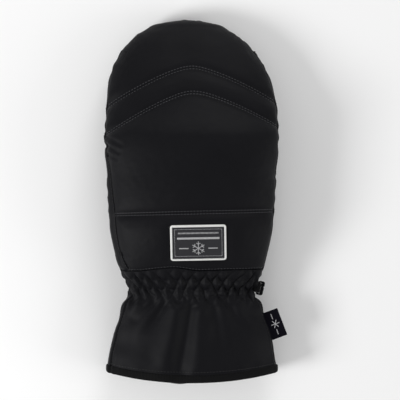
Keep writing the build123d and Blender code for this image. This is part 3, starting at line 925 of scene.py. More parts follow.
across_u = -np.cos(math.pi * turns)
wave = np.where(turns < 1, wrist_wave(across_u), 0)
wrist_top = WRIST_SEAM + wave + 1.2 * MM
wrist_rows, cuff_rows = 34, 62
hem_line = hem_y(tube_row(HEM_END + 12 * MM)[:, 0])
down_wrist = [wrist_top + (CUFF_TOP - wrist_top) * r / wrist_rows for r in range(wrist_rows + 1)]
down_cuff = [CUFF_TOP + (hem_line - CUFF_TOP) * r / cuff_rows for r in range(1, cuff_rows + 1)]
sleeve = np.array([tube_row(y) for y in down_wrist + down_cuff])[::-1].copy()
sleeve_normals = loop_normals(sleeve)
print("sleeve grid", sleeve.shape)


# %% Gathers and folds
def slow_noise(seed, size_around, size_along, shape):
    """A smooth random field on the grid, from -1 to 1, that closes round the loop."""
    made = np.random.default_rng(seed).uniform(-1, 1, (shape[0] // size_along + 4, shape[1] // size_around))
    rows = np.linspace(0, made.shape[0] - 1.001, shape[0])
    columns = np.arange(shape[1]) / shape[1] * made.shape[1]
    r, c = rows.astype(int), columns.astype(int)
    fr, fc = rows - r, columns - c
    fr, fc = (fr * fr * (3 - 2 * fr))[:, None], (fc * fc * (3 - 2 * fc))[None]
    nxt = (c + 1) % made.shape[1]
    low = made[r][:, c] * (1 - fc) + made[r][:, nxt] * fc
    high = made[r + 1][:, c] * (1 - fc) + made[r + 1][:, nxt] * fc
    return low * (1 - fr) + high * fr


CUFF_SEAM, CUFF_SEAM_RIGHT = 18, TUBE_COLUMNS // 2 - 8
sleeve_y = sleeve[..., 1]
wrist_middle = (WRIST_SEAM + CUFF_TOP) / 2
GATHER_PITCH, GATHER_DEPTH = 9.2 * MM, 3.6 * MM
middle_loop = sleeve[-wrist_rows // 2]
round_length = np.linalg.norm(np.diff(middle_loop, axis=0, append=middle_loop[:1]), axis=1)
arc = np.concatenate([[0], np.cumsum(round_length)[:-1]])
GATHER_COUNT = round(round_length.sum() / GATHER_PITCH)
steps_round = arc / round_length.sum() * GATHER_COUNT
warp = 0.26 * slow_noise(3, 16, 14, sleeve_y.shape) + 0.08 * slow_noise(4, 7, 6, sleeve_y.shape)
lean = (sleeve_y - wrist_middle) / (15 * MM)
first_family = np.abs(np.sin(math.pi * (steps_round + warp + lean)))
second_family = np.abs(np.sin(math.pi * (steps_round + warp * 0.7 - lean * 0.9 + 0.15)))
faded = [0.55 * np.clip(slow_noise(seed, 22, 16, sleeve_y.shape) + 0.1, 0, 1) for seed in (61, 62)]
first_family, second_family = np.maximum(first_family, faded[0]), np.maximum(second_family, faded[1])
smocked = np.minimum(first_family, second_family) ** 0.7
left_share = np.clip(0.4 - across_u * 1.3, 0, 1) * (turns < 1)
crossed = smocked * (1 - 0.6 * left_share) + 0.6 * left_share * first_family * 0.75
from_middle = np.abs(sleeve_y - (wrist_middle - 1 * MM)) / (12 * MM)
gather_strength = np.exp(-np.clip(from_middle, 0, 3) ** 4 * 0.9)
gather = GATHER_DEPTH * gather_strength * (crossed - 0.5)
for row_y in (wrist_middle + 4.6 * MM, wrist_middle - 3.2 * MM):
    gather -= 0.55 * MM * np.exp(-(((sleeve_y - row_y) / (1.1 * MM)) ** 2))

below = np.clip((CUFF_TOP + 2 * MM - sleeve_y) / (1 * MM), 0, None)
fan = np.sin(2 * math.pi * (steps_round * 0.5 + 0.35 * slow_noise(8, 18, 16, sleeve_y.shape)))
fan_strength = np.clip(below / 4, 0, 1) * np.exp(-below / 17)
folds = 1.5 * MM * fan * fan_strength * (0.6 + 0.4 * slow_noise(9, 20, 12, sleeve_y.shape))
x_mm, y_mm = sleeve[..., 0] * 1000, sleeve_y * 1000
on_back = np.clip(sleeve_normals[..., 2] * 2 + 0.3, 0, 1)


def fold(x_top, x_low, width, depth, y_top, y_low):
    """One long soft fold on the cuff's back. A minus depth is a valley."""
    share = np.clip((y_top - y_mm) / (y_top - y_low), 0, 1)
    centre = x_top + (x_low - x_top) * share
    ends = np.clip((y_top + 3 - y_mm) / 6, 0, 1) * np.clip((y_mm - y_low) / 14, 0, 1)
    spread = width * (1 + 0.5 * share)
    return depth * MM * ends * on_back * np.exp(-(((x_mm - centre) / spread) ** 2))


FOLDS = [
    (-3, -16, 5.0, -3.1, -80, -148),
    (-14, -28, 6.5, 2.1, -82, -142),
    (6, 1, 6.0, 1.6, -82, -144),
    (14, 20, 4.2, -1.7, -81, -122),
    (25, 38, 4.2, -1.3, -80, -104),
    (-24, -40, 3.4, -2.0, -79, -106),
    (-34, -50, 3.2, -1.4, -80, -98),
    (-44, -60, 3.4, 1.5, -79, -98),
]
for one in FOLDS:
    folds = folds + fold(*one)
near_hem = np.exp(-(((y_mm - hem_line[None] * 1000) - 7) / 5) ** 2)
hem_wave = np.sin(2 * math.pi * steps_round * 0.85)
folds += 0.35 * MM * near_hem * hem_wave * (0.5 + 0.5 * slow_noise(12, 24, 20, sleeve_y.shape))
shoulder = np.exp(-(((y_mm + 84) / 7) ** 2)) * np.abs(across_u) ** 6
folds += 2.6 * MM * shoulder
folds += 0.7 * MM * slow_noise(21, 34, 20, sleeve_y.shape) * np.clip(below / 8, 0, 1)
column = np.arange(TUBE_COLUMNS)[None]
beside_seam = np.minimum(np.abs(column - CUFF_SEAM), np.abs(column - CUFF_SEAM_RIGHT))
drawn_down = np.exp(-((beside_seam / 1.6) ** 2))
puffed_up = 0.5 * np.exp(-(((beside_seam - 5) / 3) ** 2))
folds -= (drawn_down - puffed_up) * MM * (below > 0)
sleeve = sleeve + sleeve_normals * (gather + folds)[..., None]
sleeve[..., 2] = np.maximum(sleeve[..., 2], 0.9 * MM)
sleeve_normals = loop_normals(sleeve)
sleeve_normals[-1] = sleeve_normals[-2]
print("gathers round the wrist", GATHER_COUNT)

# %% Wrist band, cuff panels and cuff padding
sleeve_index = loop_index(len(sleeve), TUBE_COLUMNS, False)
sleeve_lengths = cloth_lengths(sleeve)
sleeve_parts = {
    "wrist_band": (range(cuff_rows, len(sleeve) - 1), range(TUBE_COLUMNS)),
    "cuff_back_panel": (range(0, cuff_rows), range(CUFF_SEAM, CUFF_SEAM_RIGHT)),
    "cuff_palm_panel": (range(0, cuff_rows), range(CUFF_SEAM_RIGHT, TUBE_COLUMNS + CUFF_SEAM)),
}
for name, (rows, columns) in sleeve_parts.items():
    faces = loop_faces(sleeve_index, rows, columns)
    inner = sleeve - sleeve_normals * 0.9 * MM
    panel = closed_panel(f"{name}_cloth", sleeve, inner, faces, sleeve_lengths, nylon, crisp=True)
    dress(panel, name)
    print(panel.name, len(panel.data.polygons), "faces")


def tube_ply(name, node, outset, inset, material, wrinkle):
    """A loose inner ply of the cuff, between two depths, with its own soft wrinkles."""
    base = np.array([tube_row(sleeve_y[r]) for r in range(0, cuff_rows + 1, 2)])
    plain = loop_normals(base)
    shift = wrinkle * slow_noise(31, 12, 5, base.shape[:2])
    outer = base - plain * (outset + shift)[..., None]
    inner = base - plain * (inset + shift)[..., None]
    index = loop_index(len(base), TUBE_COLUMNS, False)
    faces = loop_faces(index, range(len(base) - 1), range(TUBE_COLUMNS))
    dress(closed_panel(name, outer, inner, faces, cloth_lengths(base), material), node)


def fleece_finish():
    """Brushed fleece: black, soft and cloudy, with a short nap that catches light at its edges."""
    material, tree, shader = start_material(
        "brushed_fleece", Roughness=0.95, Sheen_Weight=0.5, Sheen_Roughness=0.6, Specular_IOR_Level=0.2
    )
    nap = cloudy(tree, 1 / (1.6 * MM), 5.0, 1.2)
    two_tones(tree, shader, nap, "141416", "26262a")
    emboss(tree, shader, nap, 0.5 * MM)
    return material


fleece = fleece_finish()
tube_ply("cuff_lining_fleece", "cuff_lining", 4.5 * MM, 5.7 * MM, fleece, 0.3 * MM)
tube_ply("cuff_batting_pad", "cuff_batting", 3.4 * MM, 3.8 * MM, padding, 0.1 * MM)

# %% [markdown]
# ## Lining and waterproof insert
#
# Inside the padding hangs a thin film insert, and inside that the fleece lining. Both are whole
# bags with one hole for the thumb, so they are the hand's own loops drawn in, with a short neck
# down into the cuff and soft wrinkles from a slow noise.


# %% The hand's lining and its waterproof insert
def film_finish():
    """Waterproof film: a thin milky polyurethane skin, smooth, with faint creases."""
    material, tree, shader = start_material(
        "polyurethane_film", "c3c7ca", Roughness=0.35, Transmission_Weight=0.3, Specular_IOR_Level=0.4
    )
    emboss(tree, shader, cloudy(tree, 90.0, 4.0, 1.0), 0.4 * MM)
    return material


film = film_finish()
neck_y = np.linspace(CUFF_TOP + 0.6 * MM, full[0, 0, 1], 9)[:-1]
first = full[0]
middle_x, half, middle_z, height = body_section(first[:, 1])
share_x, share_z = (first[:, 0] - middle_x) / half, (first[:, 2] - middle_z) / height
neck = []
for y in neck_y:
    middle_x, half, middle_z, height = body_section(y)
    neck.append(np.stack([middle_x + share_x * half, 0 * share_x + y, middle_z + share_z * height], 1))
lined = np.concatenate([np.array(neck), full])
fill = np.interp(lined[..., 1], [WRIST_SEAM - 12 * MM, WRIST_SEAM, WRIST_SEAM + 32 * MM], [0.25, 0.5, 1.0])
soft = 0.4 * MM * slow_noise(41, 6, 5, lined.shape[:2])
soft[-3:] = 0
lining_index = loop_index(len(lined), COLUMNS, True)
lining_faces = loop_faces(lining_index, range(len(lined) - 1), range(COLUMNS))
PALM_SIDE = 26 * MM
face_heights = [lined.reshape(-1, 3)[list(f), 2].mean() for f in lining_faces]
on_palm = [f for f, z in zip(lining_faces, face_heights) if z <= PALM_SIDE]
lining_faces = [f for f, z in zip(lining_faces, face_heights) if z > PALM_SIDE] + holed(on_palm, lined)
behind_padding = 5 * MM * fill
bag_lengths = cloth_lengths(lined)
film_outer = drawn_in(lined, 2.05 * MM + behind_padding + soft * 0.5)
film_inner = drawn_in(lined, 2.45 * MM + behind_padding + soft * 0.5)
insert = closed_panel("membrane_insert_film", film_outer, film_inner, lining_faces, bag_lengths, film)
dress(insert, "membrane_insert")
lining_outer = drawn_in(lined, 2.9 * MM + behind_padding + soft)
lining_inner = drawn_in(lined, 4.3 * MM + behind_padding + soft)
lining = closed_panel(
    "hand_lining_fleece", lining_outer, lining_inner, lining_faces, bag_lengths, fleece
)
dress(lining, "hand_lining")

# %% [markdown]
# ## Hem binding
#
# The hem is closed by a knit tape folded over the edge of the shell and the lining. It is swept
# round the hem with one cross section, a soft U, whose outer face follows the cuff's folds.

# %% Sweep the binding round the hem
HEM_SECTION = [
    (-5.4, 0.1), (-5.1, 0.7), (-4.2, 0.95), (-2.6, 1.0), (-1.0, 1.0), (0.2, 0.75), (0.9, 0.1),
    (1.2, -1.2), (1.2, -4.6), (0.9, -6.0), (0.2, -6.8), (-1.2, -7.0), (-3.0, -7.0), (-4.4, -6.9),
    (-5.2, -6.6), (-5.3, -6.0), (-4.0, -5.9), (-0.4, -5.8), (-0.3, -0.1), (-4.0, -0.1),
]  # fmt: skip


def webbing_finish(name, colour, rib, relief=0.3 * MM):
    """Ribbed knit or webbing: black, matt, with fine ribs across its length."""
    material, tree, shader = start_material(
        name, colour, Roughness=0.75, Sheen_Weight=0.02, Specular_IOR_Level=0.12
    )
    emboss(tree, shader, ribbed(tree, rib, "X", 0.8, 2.0, on_cloth=True), relief)
    return material


def swept(name, paths, material, lengths):
    """A closed skin over a loop of cross sections: paths is (sections, points round, 3)."""
    sections, around = paths.shape[:2]
    index = np.arange(sections * around).reshape(sections, around)
    faces = []
    for r in range(sections):
        for c in range(around):
            r2, c2 = (r + 1) % sections, (c + 1) % around
            faces.append((int(index[r, c]), int(index[r, c2]), int(index[r2, c2]), int(index[r2, c])))
    across_path = np.concatenate([[0], np.cumsum(np.linalg.norm(np.diff(paths[0], axis=0), axis=1))])
    flat = np.stack([np.repeat(lengths, around), np.tile(across_path, sections)], 1)
    return smooth_piece(name, paths, faces, material, flat, turn_out=True)


edge_out = sleeve[0] - sleeve[2]
edge_out /= np.linalg.norm(edge_out, axis=1, keepdims=True)
edge_normals = (sleeve_normals[0] + sleeve_normals[2] + sleeve_normals[4]) / 3
edge_normals -= (edge_normals * edge_out).sum(1, keepdims=True) * edge_out
edge_normals /= np.linalg.norm(edge_normals, axis=1, keepdims=True)
rolled = []
for along, up in HEM_SECTION:
    rolled.append(sleeve[0] + edge_out * (along - 1.0) * MM + edge_normals * up * MM)
rolled = np.stack(rolled, 1)
rolled[..., 2] = np.maximum(rolled[..., 2], 0.05 * MM)
knit = webbing_finish("knit_binding_tape", "060607", 1.2 * MM)
hem_lengths = np.concatenate([[0], np.cumsum(np.linalg.norm(np.diff(sleeve[0], axis=0), axis=1))])
binding = swept("hem_binding_tape", rolled, knit, hem_lengths)
dress(binding, "hem_binding")
print("binding goes round", round(float(hem_lengths[-1] * 1000)), "mm")

# %% [markdown]
# ## Stitches
#
# A seam's thread shows as a row of short, slightly sunken beads. Geometry Nodes repeat one bead:
# a path becomes a curve, is cut to the stitch length, and carries a bead at every cut, turned
# along the path. The same tree makes the seams' fine grey thread, the tag's stitching and, with
# fat beads set across the path, the label's merrowed edge.


# %% A tree that lays beads along a path
def bead_tree():
    """Geometry Nodes that set one bead at each step of a path. Its inputs are the bead's sizes."""
    tree = bpy.data.node_groups.new("thread_beads", "GeometryNodeTree")
    face = tree.interface
    face.new_socket("Path", in_out="INPUT", socket_type="NodeSocketGeometry")
    for name in ("Pitch", "Along", "Across", "High"):
        face.new_socket(name, in_out="INPUT", socket_type="NodeSocketFloat")
    face.new_socket("Lean", in_out="INPUT", socket_type="NodeSocketFloat")
    face.new_socket("Seed", in_out="INPUT", socket_type="NodeSocketInt")
    face.new_socket("Thread", in_out="INPUT", socket_type="NodeSocketMaterial")
    face.new_socket("Beads", in_out="OUTPUT", socket_type="NodeSocketGeometry")
    into = add_node(tree, "NodeGroupInput")
    curve = add_node(tree, "GeometryNodeMeshToCurve", links={"Mesh": into.outputs["Path"]})
    cuts = add_node(
        tree,
        "GeometryNodeCurveToPoints",
        links={"Curve": curve.outputs["Curve"], "Length": into.outputs["Pitch"]},
        mode="LENGTH",
    )
    ball = add_node(
        tree, "GeometryNodeMeshUVSphere", inputs={"Segments": 8, "Rings": 5, "Radius": 0.5}
    )
    smooth = add_node(tree, "GeometryNodeSetShadeSmooth", links={"Geometry": ball.outputs["Mesh"]})
    normal = add_node(tree, "GeometryNodeInputNamedAttribute", data_type="FLOAT_VECTOR")
    normal.inputs["Name"].default_value = "outward"
    upright = add_node(
        tree,
        "FunctionNodeAlignEulerToVector",
        links={"Vector": normal.outputs["Attribute"]},
        axis="Z",
    )
    aligned = add_node(
        tree,
        "FunctionNodeAlignEulerToVector",
        links={"Rotation": upright.outputs["Rotation"], "Vector": cuts.outputs["Tangent"]},
        axis="X",
        pivot_axis="Z",
    )
    wobble = add_node(
        tree,
        "FunctionNodeRandomValue",
        links={"Seed": into.outputs["Seed"]},
        data_type="FLOAT",
    )
    wobble.inputs[2].default_value = -0.09
    wobble.inputs[3].default_value = 0.09
    lean = add_node(
        tree,
        "ShaderNodeMath",
        operation="ADD",
    )
    tree.links.new(wobble.outputs[1], lean.inputs[0])
    tree.links.new(into.outputs["Lean"], lean.inputs[1])
    turn = add_node(tree, "ShaderNodeCombineXYZ", links={"Z": lean.outputs["Value"]})
    turned = add_node(
        tree,
        "FunctionNodeRotateEuler",
        links={"Rotation": aligned.outputs["Rotation"], "Rotate By": turn.outputs["Vector"]},
        space="LOCAL",
    )
    sizes = add_node(
        tree,
        "ShaderNodeCombineXYZ",
        links={
            "X": into.outputs["Along"],
            "Y": into.outputs["Across"],
            "Z": into.outputs["High"],
        },
    )
    beads = add_node(
        tree,
        "GeometryNodeInstanceOnPoints",
        links={
            "Points": cuts.outputs["Points"],
            "Instance": smooth.outputs["Geometry"],
            "Rotation": turned.outputs["Rotation"],
            "Scale": sizes.outputs["Vector"],
        },
    )
    real = add_node(tree, "GeometryNodeRealizeInstances", links={"Geometry": beads.outputs["Instances"]})
    coat = add_node(
        tree,
        "GeometryNodeSetMaterial",
        links={"Geometry": real.outputs["Geometry"], "Material": into.outputs["Thread"]},
    )
    add_node(tree, "NodeGroupOutput", links={"Beads": coat.outputs["Geometry"]})
    return tree


THREAD_BEADS = bead_tree()


def lay_beads(name, paths, outward, material, pitch, along, across, high, lean=0.0, seed=1):
    """Runs the tree on open paths and returns the beads as one plain mesh object."""
    points = np.concatenate(paths)
    edges, start = [], 0
    for path in paths:
        edges += [(start + k, start + k + 1) for k in range(len(path) - 1)]
        start += len(path)
    mesh = bpy.data.meshes.new(f"{name}_path")
    mesh.from_pydata(points.tolist(), edges, [])
    attribute = mesh.attributes.new("outward", "FLOAT_VECTOR", "POINT")
    attribute.data.foreach_set("vector", np.concatenate(outward).astype(np.float32).ravel())
    guide = link_object(f"{name}_path", mesh)
    modifier = guide.modifiers.new("beads", "NODES")
    modifier.node_group = THREAD_BEADS
    values = {"Pitch": pitch, "Along": along, "Across": across, "High": high}
    values |= {"Lean": lean, "Seed": seed, "Thread": material}
    for item in THREAD_BEADS.interface.items_tree:
        if item.in_out == "INPUT" and item.name in values:
            modifier[item.identifier] = values[item.name]
    graph = bpy.context.evaluated_depsgraph_get()
    made = bpy.data.meshes.new_from_object(guide.evaluated_get(graph), depsgraph=graph)
    bpy.data.objects.remove(guide)
    made.name = name
    for spare in [a.name for a in made.attributes if a.name == "outward"]:
        made.attributes.remove(made.attributes[spare])
    print(name, len(made.polygons) // 40, "stitches")
    return link_object(name, made)


# %% [markdown]
# ## Finish: thread
#
# The seams are sewn with a spun polyester thread in mid grey, which reads lighter than the nylon.
# The label's edge is a softer white thread. Both are matt with a fine twist.


# %% Thread finishes
def thread_finish(name, colour, shade):
    """Spun polyester thread, with a twist drawn at 0.3 mm."""
    material, tree, shader = start_material(name, Roughness=0.6, Sheen_Weight=0.1)
    twist = ribbed(tree, 0.3 * MM, "DIAGONAL", 3.0, 1.0)
    two_tones(tree, shader, twist, colour, shade)
    emboss(tree, shader, twist, 0.05 * MM)
    return material


grey_thread = thread_finish("grey_polyester_thread", "56565a", "3c3c40")
black_thread = thread_finish("black_polyester_thread", "111113", "0a0a0b")
white_thread = thread_finish("white_merrow_thread", "f4f4f2", "d8d8d6")
STITCH = 2.5 * MM


# %% Two rows of thread along each seam of the back
def grid_line(row, columns):
    """A line across the fine hand at a row that may lie between two others."""
    low = int(row)
    share = row - low
    place = fine_hand[low][columns] * (1 - share) + fine_hand[low + 1][columns] * share
    out = fine_normals[low][columns] * (1 - share) + fine_normals[low + 1][columns] * share
    return place + out * 0.12 * MM, out


paths, outs = [], []
for number, row in enumerate(SEAMS_FINE[:-1]):
    first_column = GC if row < GUSSET_FINE else 0
    columns = np.arange(first_column, half_fine + 1)
    for offset in (1.3,) if number == 0 else (-1.8, 1.8):
        place, out = grid_line(row + offset, columns)
        paths.append(place)
        outs.append(out)
    if number == 0:
        place, out = grid_line(row + 3.0, columns)
        paths.append(place)
        outs.append(out)
stitches = lay_beads("seam_stitches_back", paths, outs, grey_thread, STITCH, 1.7 * MM, 0.4 * MM, 0.3 * MM)
dress(stitches)

# %% [markdown]
# ## Label
#
# The label is a damask-woven patch with a merrowed edge: a fat overlock thread that wraps the
# edge all round. Its motif is satin stitch, close parallel threads that stand a little proud. The
# patch is a closed sheet bent to the hand, and the threads come from the same bead tree, with
# beads turned to lie across their path. The picture on it is a plain snowflake and two bars.

# %% Find the cloth under a point
surface = BVHTree.FromPolygons(
    [Vector(p) for p in fine_hand.reshape(-1, 3)], hand_faces(0, len(fine_hand) - 1, range(fine_columns))
)


def cloth_height(x, y, below=False):
    """The height of the hand's cloth over, or under, a place on the table."""
    start = Vector((x, y, -0.1 if below else 0.2))
    hit, _, _, _ = surface.ray_cast(start, Vector((0, 0, 1 if below else -1)))
    return hit.z if hit else None


def rounded(x, y, half_x, half_y, radius):
    """Pulls a rectangle's corner points in onto its rounded corners."""
    over_x, over_y = abs(x) - (half_x - radius), abs(y) - (half_y - radius)
    if over_x > 0 and over_y > 0:
        far = math.hypot(over_x, over_y)
        scale = min(1.0, max(over_x, over_y) / far)
        x = math.copysign(half_x - radius + over_x * scale, x)
        y = math.copysign(half_y - radius + over_y * scale, y)
    return x, y


def patch_grid(centre, size, radius, turn, step, below=False, soften=0):
    """A grid of points on the hand's cloth under a rounded patch, before any lift."""
    half_x, half_y = size[0] / 2, size[1] / 2
    nx, ny = round(size[0] / step) + 1, round(size[1] / step) + 1
    c, s = math.cos(turn), math.sin(turn)
    made = np.empty((ny, nx, 3))
    for j, b in enumerate(np.linspace(-half_y, half_y, ny)):
        for i, a in enumerate(np.linspace(-half_x, half_x, nx)):
            x, y = rounded(a, b, half_x, half_y, radius)
            px, py = centre[0] + c * x - s * y, centre[1] + s * x + c * y
            made[j, i] = px, py, cloth_height(px, py, below)
    for _ in range(soften):
        z = np.pad(made[..., 2], 1, mode="edge")
        made[..., 2] = (z[:-2, 1:-1] + z[2:, 1:-1] + z[1:-1, :-2] + z[1:-1, 2:]) / 4
    return made


def patch_sheet(name, grid, lift_in, lift_out, material, below=False):
    """A closed sheet over a patch grid."""
    ny, nx = grid.shape[:2]
    side = -1 if below else 1
    index = np.arange(nx * ny).reshape(ny, nx)
    faces = []
    for j in range(ny - 1):
        for i in range(nx - 1):
            quad = [int(index[j, i]), int(index[j, i + 1]), int(index[j + 1, i + 1]), int(index[j + 1, i])]
            faces.append(tuple(quad[::side]))
    up = np.array([0, 0, side])
    lengths = (grid[..., 0], grid[..., 1])
    return closed_panel(name, grid + up * lift_out, grid + up * lift_in, faces, lengths, material)


# %% The label's field and border
LABEL_TURN = math.radians(1.0)
LABEL_X, LABEL_Y = 45.0 * MM, 29.0 * MM
field_size = (LABEL_X - 2 * MM, LABEL_Y - 2 * MM)
label_grid = patch_grid(label_middle, field_size, 1 * MM, LABEL_TURN, 1 * MM, soften=3)
damask = woven("damask_label_weave", "2b2b2e", "353538", 0.5 * MM, 0.55, 0.05)
field = patch_sheet("label_patch_weave", label_grid, 0.35 * MM, 1.1 * MM, damask)
dress(field, "label_patch")


def on_label(points, lift):
    """Points in the label's own millimetres, placed on the mitten."""
    c, s = math.cos(LABEL_TURN), math.sin(LABEL_TURN)
    made = []
    for a, b in points:
        x, y = label_middle.x + (c * a - s * b) * MM, label_middle.y + (s * a + c * b) * MM
        made.append((x, y, cloth_height(x, y) + lift))
    return np.array(made)


def box_path(half_x, half_y, radius, step=0.5):
    """A rounded rectangle as a closed path, in millimetres."""
    points = []
    for cx, cy, start in ((1, 1, 0), (-1, 1, 90), (-1, -1, 180), (1, -1, 270)):
        for k in range(7):
            turn = math.radians(start + 15 * k)
            x = cx * (half_x - radius) + radius * math.cos(turn)
            points.append((x, cy * (half_y - radius) + radius * math.sin(turn)))
    made = []
    for (ax, ay), (bx, by) in zip(points, points[1:] + points[:1]):
        count = max(1, round(math.hypot(bx - ax, by - ay) / step))
        made += [(ax + (bx - ax) * k / count, ay + (by - ay) * k / count) for k in range(count)]
    return made + made[:1]


UP = np.array([0.0, 0.0, 1.0])
edge = on_label(box_path(21.1, 13.1, 1.2), 0.75 * MM)
core_loop = edge[:-1]
tangent = np.roll(core_loop, -1, 0) - np.roll(core_loop, 1, 0)
tangent /= np.linalg.norm(tangent, axis=1, keepdims=True)
outwards = np.cross(tangent, UP)
core = [
    core_loop + outwards * math.cos(t) * 1.0 * MM + UP * math.sin(t) * 0.5 * MM
    for t in np.linspace(0, 2 * math.pi, 10, endpoint=False)
]
core_lengths = np.linspace(0, 0.14, len(core_loop))
border_core = swept("label_border_core", np.stack(core, 1), white_thread, core_lengths)
dress(border_core, "label_border")
merrow = lay_beads(
    "label_merrow_threads", [edge], [np.tile(UP, (len(edge), 1))], white_thread,
    0.66 * MM, 0.72 * MM, 2.0 * MM, 1.5 * MM, lean=0.22, seed=5,
)  # fmt: skip
dress(merrow)

# %% The label's motif
light_thread = thread_finish("light_grey_rayon_thread", "c4c4c6", "98989a")


def satin(name, strokes, width, pitch=0.34, along=0.4):
    """Satin stitch along straight strokes in the label's own millimetres."""
    paths, outs = [], []
    for (ax, ay), (bx, by) in strokes:
        count = max(2, round(math.hypot(bx - ax, by - ay) / 0.8))
        line = [(ax + (bx - ax) * k / count, ay + (by - ay) * k / count) for k in range(count + 1)]
        paths.append(on_label(line, 1.12 * MM))
        outs.append(np.tile(UP, (count + 1, 1)))
    sizes = (pitch * MM, along * MM, width * MM, 0.34 * MM)
    made = lay_beads(name, paths, outs, light_thread, *sizes, seed=2)
    dress(made)


frame_line = box_path(18.6, 10.6, 0.6)
satin("label_frame_line", list(zip(frame_line, frame_line[1:])), 0.4)
satin("label_upper_bar", [((-15.5, 7.6), (15.5, 7.6))], 1.7, pitch=1.0, along=0.62)
satin("label_lower_bar", [((-16.5, 3.6), (16.5, 3.6))], 2.3)
flake = []
for k in range(6):
    c, s = math.cos(math.radians(60 * k + 30)), math.sin(math.radians(60 * k + 30))
    flake.append(((0.3 * c, -4.4 + 0.3 * s), (5.2 * c, -4.4 + 5.2 * s)))
    for bend in (-60, 60):
        d = math.radians(60 * k + 30 + bend)
        start = (3.2 * c, -4.4 + 3.2 * s)
        flake.append((start, (start[0] + 1.7 * math.cos(d), start[1] + 1.7 * math.sin(d))))
satin("label_snowflake", flake, 0.75)
satin("label_side_dashes", [((-15, -4.4), (-8, -4.4)), ((8, -4.4), (15, -4.4))], 1.1)

# %% [markdown]
# ## Side tag
#
# The tag is a strip of black satin ribbon, folded in half and caught in the cuff's side seam. It
# bends where it leaves the seam, so its first millimetres stay with the mitten and the rest
# turns with the tag.

# %% A flat strip bent along an outline
def strip_piece(name, outline, place, along_steps, material):
    """A closed strip. Its outline is (out, up) all round, the same at every step along its width."""
    rings = [[place(x, a, z) for x, z in outline] for a in along_steps]
    count = len(outline)
    faces = [
        (r * count + c, r * count + (c + 1) % count, (r + 1) * count + (c + 1) % count, (r + 1) * count + c)
        for r in range(len(rings) - 1)
        for c in range(count)
    ]
    for base, flip in ((0, 1), ((len(rings) - 1) * count, -1)):
        for k in range(count // 2 - 1):
            quad = (base + k, base + k + 1, base + count - 2 - k, base + count - 1 - k)
            faces.append(quad[::flip])
    lengths = np.concatenate([[0], np.cumsum([math.dist(a, b) for a, b in zip(outline, outline[1:])])])
    flat = np.stack([np.tile(lengths, len(rings)), np.repeat(along_steps, count)], 1)
    return smooth_piece(name, rings, faces, material, flat, turn_out=True)


# %% The folded ribbon
joints = {j["name"]: j for j in frame["record"]["behaviour"]["joints"]}
tag_root = np.array(joints["tag_flap"]["pos_m"])
tag_edge = -np.array(joints["tag_flap"]["axis"])
tag_reach = np.cross(tag_edge, UP)
TAG_HALF, TAG_WALL, TAG_LENGTH, TAG_FAR = 0.75 * MM, 0.5 * MM, 22.8 * MM, 10.6 * MM
TAG_ROOT = -2.4 * MM
fold_turn = np.linspace(0.4, math.pi - 0.4, 6)
inner_half = TAG_HALF - TAG_WALL
outer_side = [(TAG_ROOT + (TAG_FAR - TAG_ROOT) * k / 12, TAG_HALF) for k in range(13)]
outer_bend = [(TAG_FAR + TAG_HALF * math.sin(t), TAG_HALF * math.cos(t)) for t in fold_turn]
inner_bend = [(TAG_FAR + inner_half * math.sin(t), inner_half * math.cos(t)) for t in fold_turn[::-1]]
ribbon = outer_side + outer_bend + [(x, -z) for x, z in outer_side[::-1]]
ribbon += [(x, -inner_half) for x, _ in outer_side] + inner_bend
ribbon += [(x, inner_half) for x, _ in outer_side[::-1]]


def tag_place(out, along, up):
    """A point on the tag: out from the cuff, along its sewn edge, and up, with a slight curl."""
    curl = 0.5 * MM * math.sin(along / TAG_LENGTH * 3.0 + 0.5) * max(out, 0) / TAG_FAR
    curl += 0.9 * MM * (max(out, 0) / TAG_FAR) ** 2
    return tag_root + tag_reach * out + tag_edge * along + UP * (up + curl)


def satin_finish():
    """Rayon satin ribbon: black with a silky sheen across its fine ribs."""
    material, tree, shader = start_material(
        "black_satin_ribbon", "0b0a12", Roughness=0.5, Specular_IOR_Level=0.05, Sheen_Weight=0.0
    )
    emboss(tree, shader, ribbed(tree, 0.5 * MM, "Y", 0.4, 2.0), 0.05 * MM)
    return material


ribbon_satin = satin_finish()
along_steps = np.linspace(-TAG_LENGTH / 2, TAG_LENGTH / 2, 25)
tag = strip_piece("side_tag_ribbon", ribbon, tag_place, along_steps, ribbon_satin)
dress(tag, "side_tag", body=None)
bend = tag_reach * 1.4 * MM
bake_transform(tag, "mitten", "tag", start=tuple(tag_root - bend), end=tuple(tag_root + bend))

paths = []
for (ax, ay), (bx, by) in [((4.8, -8.5), (4.8, -4.5)), ((4.8, 4.5), (4.8, 8.5))]:
    paths.append([(ax + (bx - ax) * k / 4, ay + (by - ay) * k / 4) for k in range(5)])
for k in range(3):
    c, s = math.cos(math.radians(60 * k)), math.sin(math.radians(60 * k))
    paths.append([(5.4 + 3.2 * c * t, 3.2 * s * t) for t in (-1, -0.5, 0, 0.5, 1)])
tag_paths = [np.array([tag_place(x * MM, y * MM, TAG_HALF) for x, y in path]) for path in paths]
tag_motif = lay_beads(
    "tag_motif_threads", tag_paths, [np.tile(UP, (5, 1))] * len(tag_paths), light_thread,
    0.4 * MM, 0.45 * MM, 0.8 * MM, 0.3 * MM, seed=9,
)  # fmt: skip
dress(tag_motif, body="tag")

# %% [markdown]
# ## Palm patch
#
# A second layer of grained leather takes the wear where a ski pole is held. It is cut as a
# rounded patch, laid on the palm and sewn with two lines of black thread, which draw its edge in.

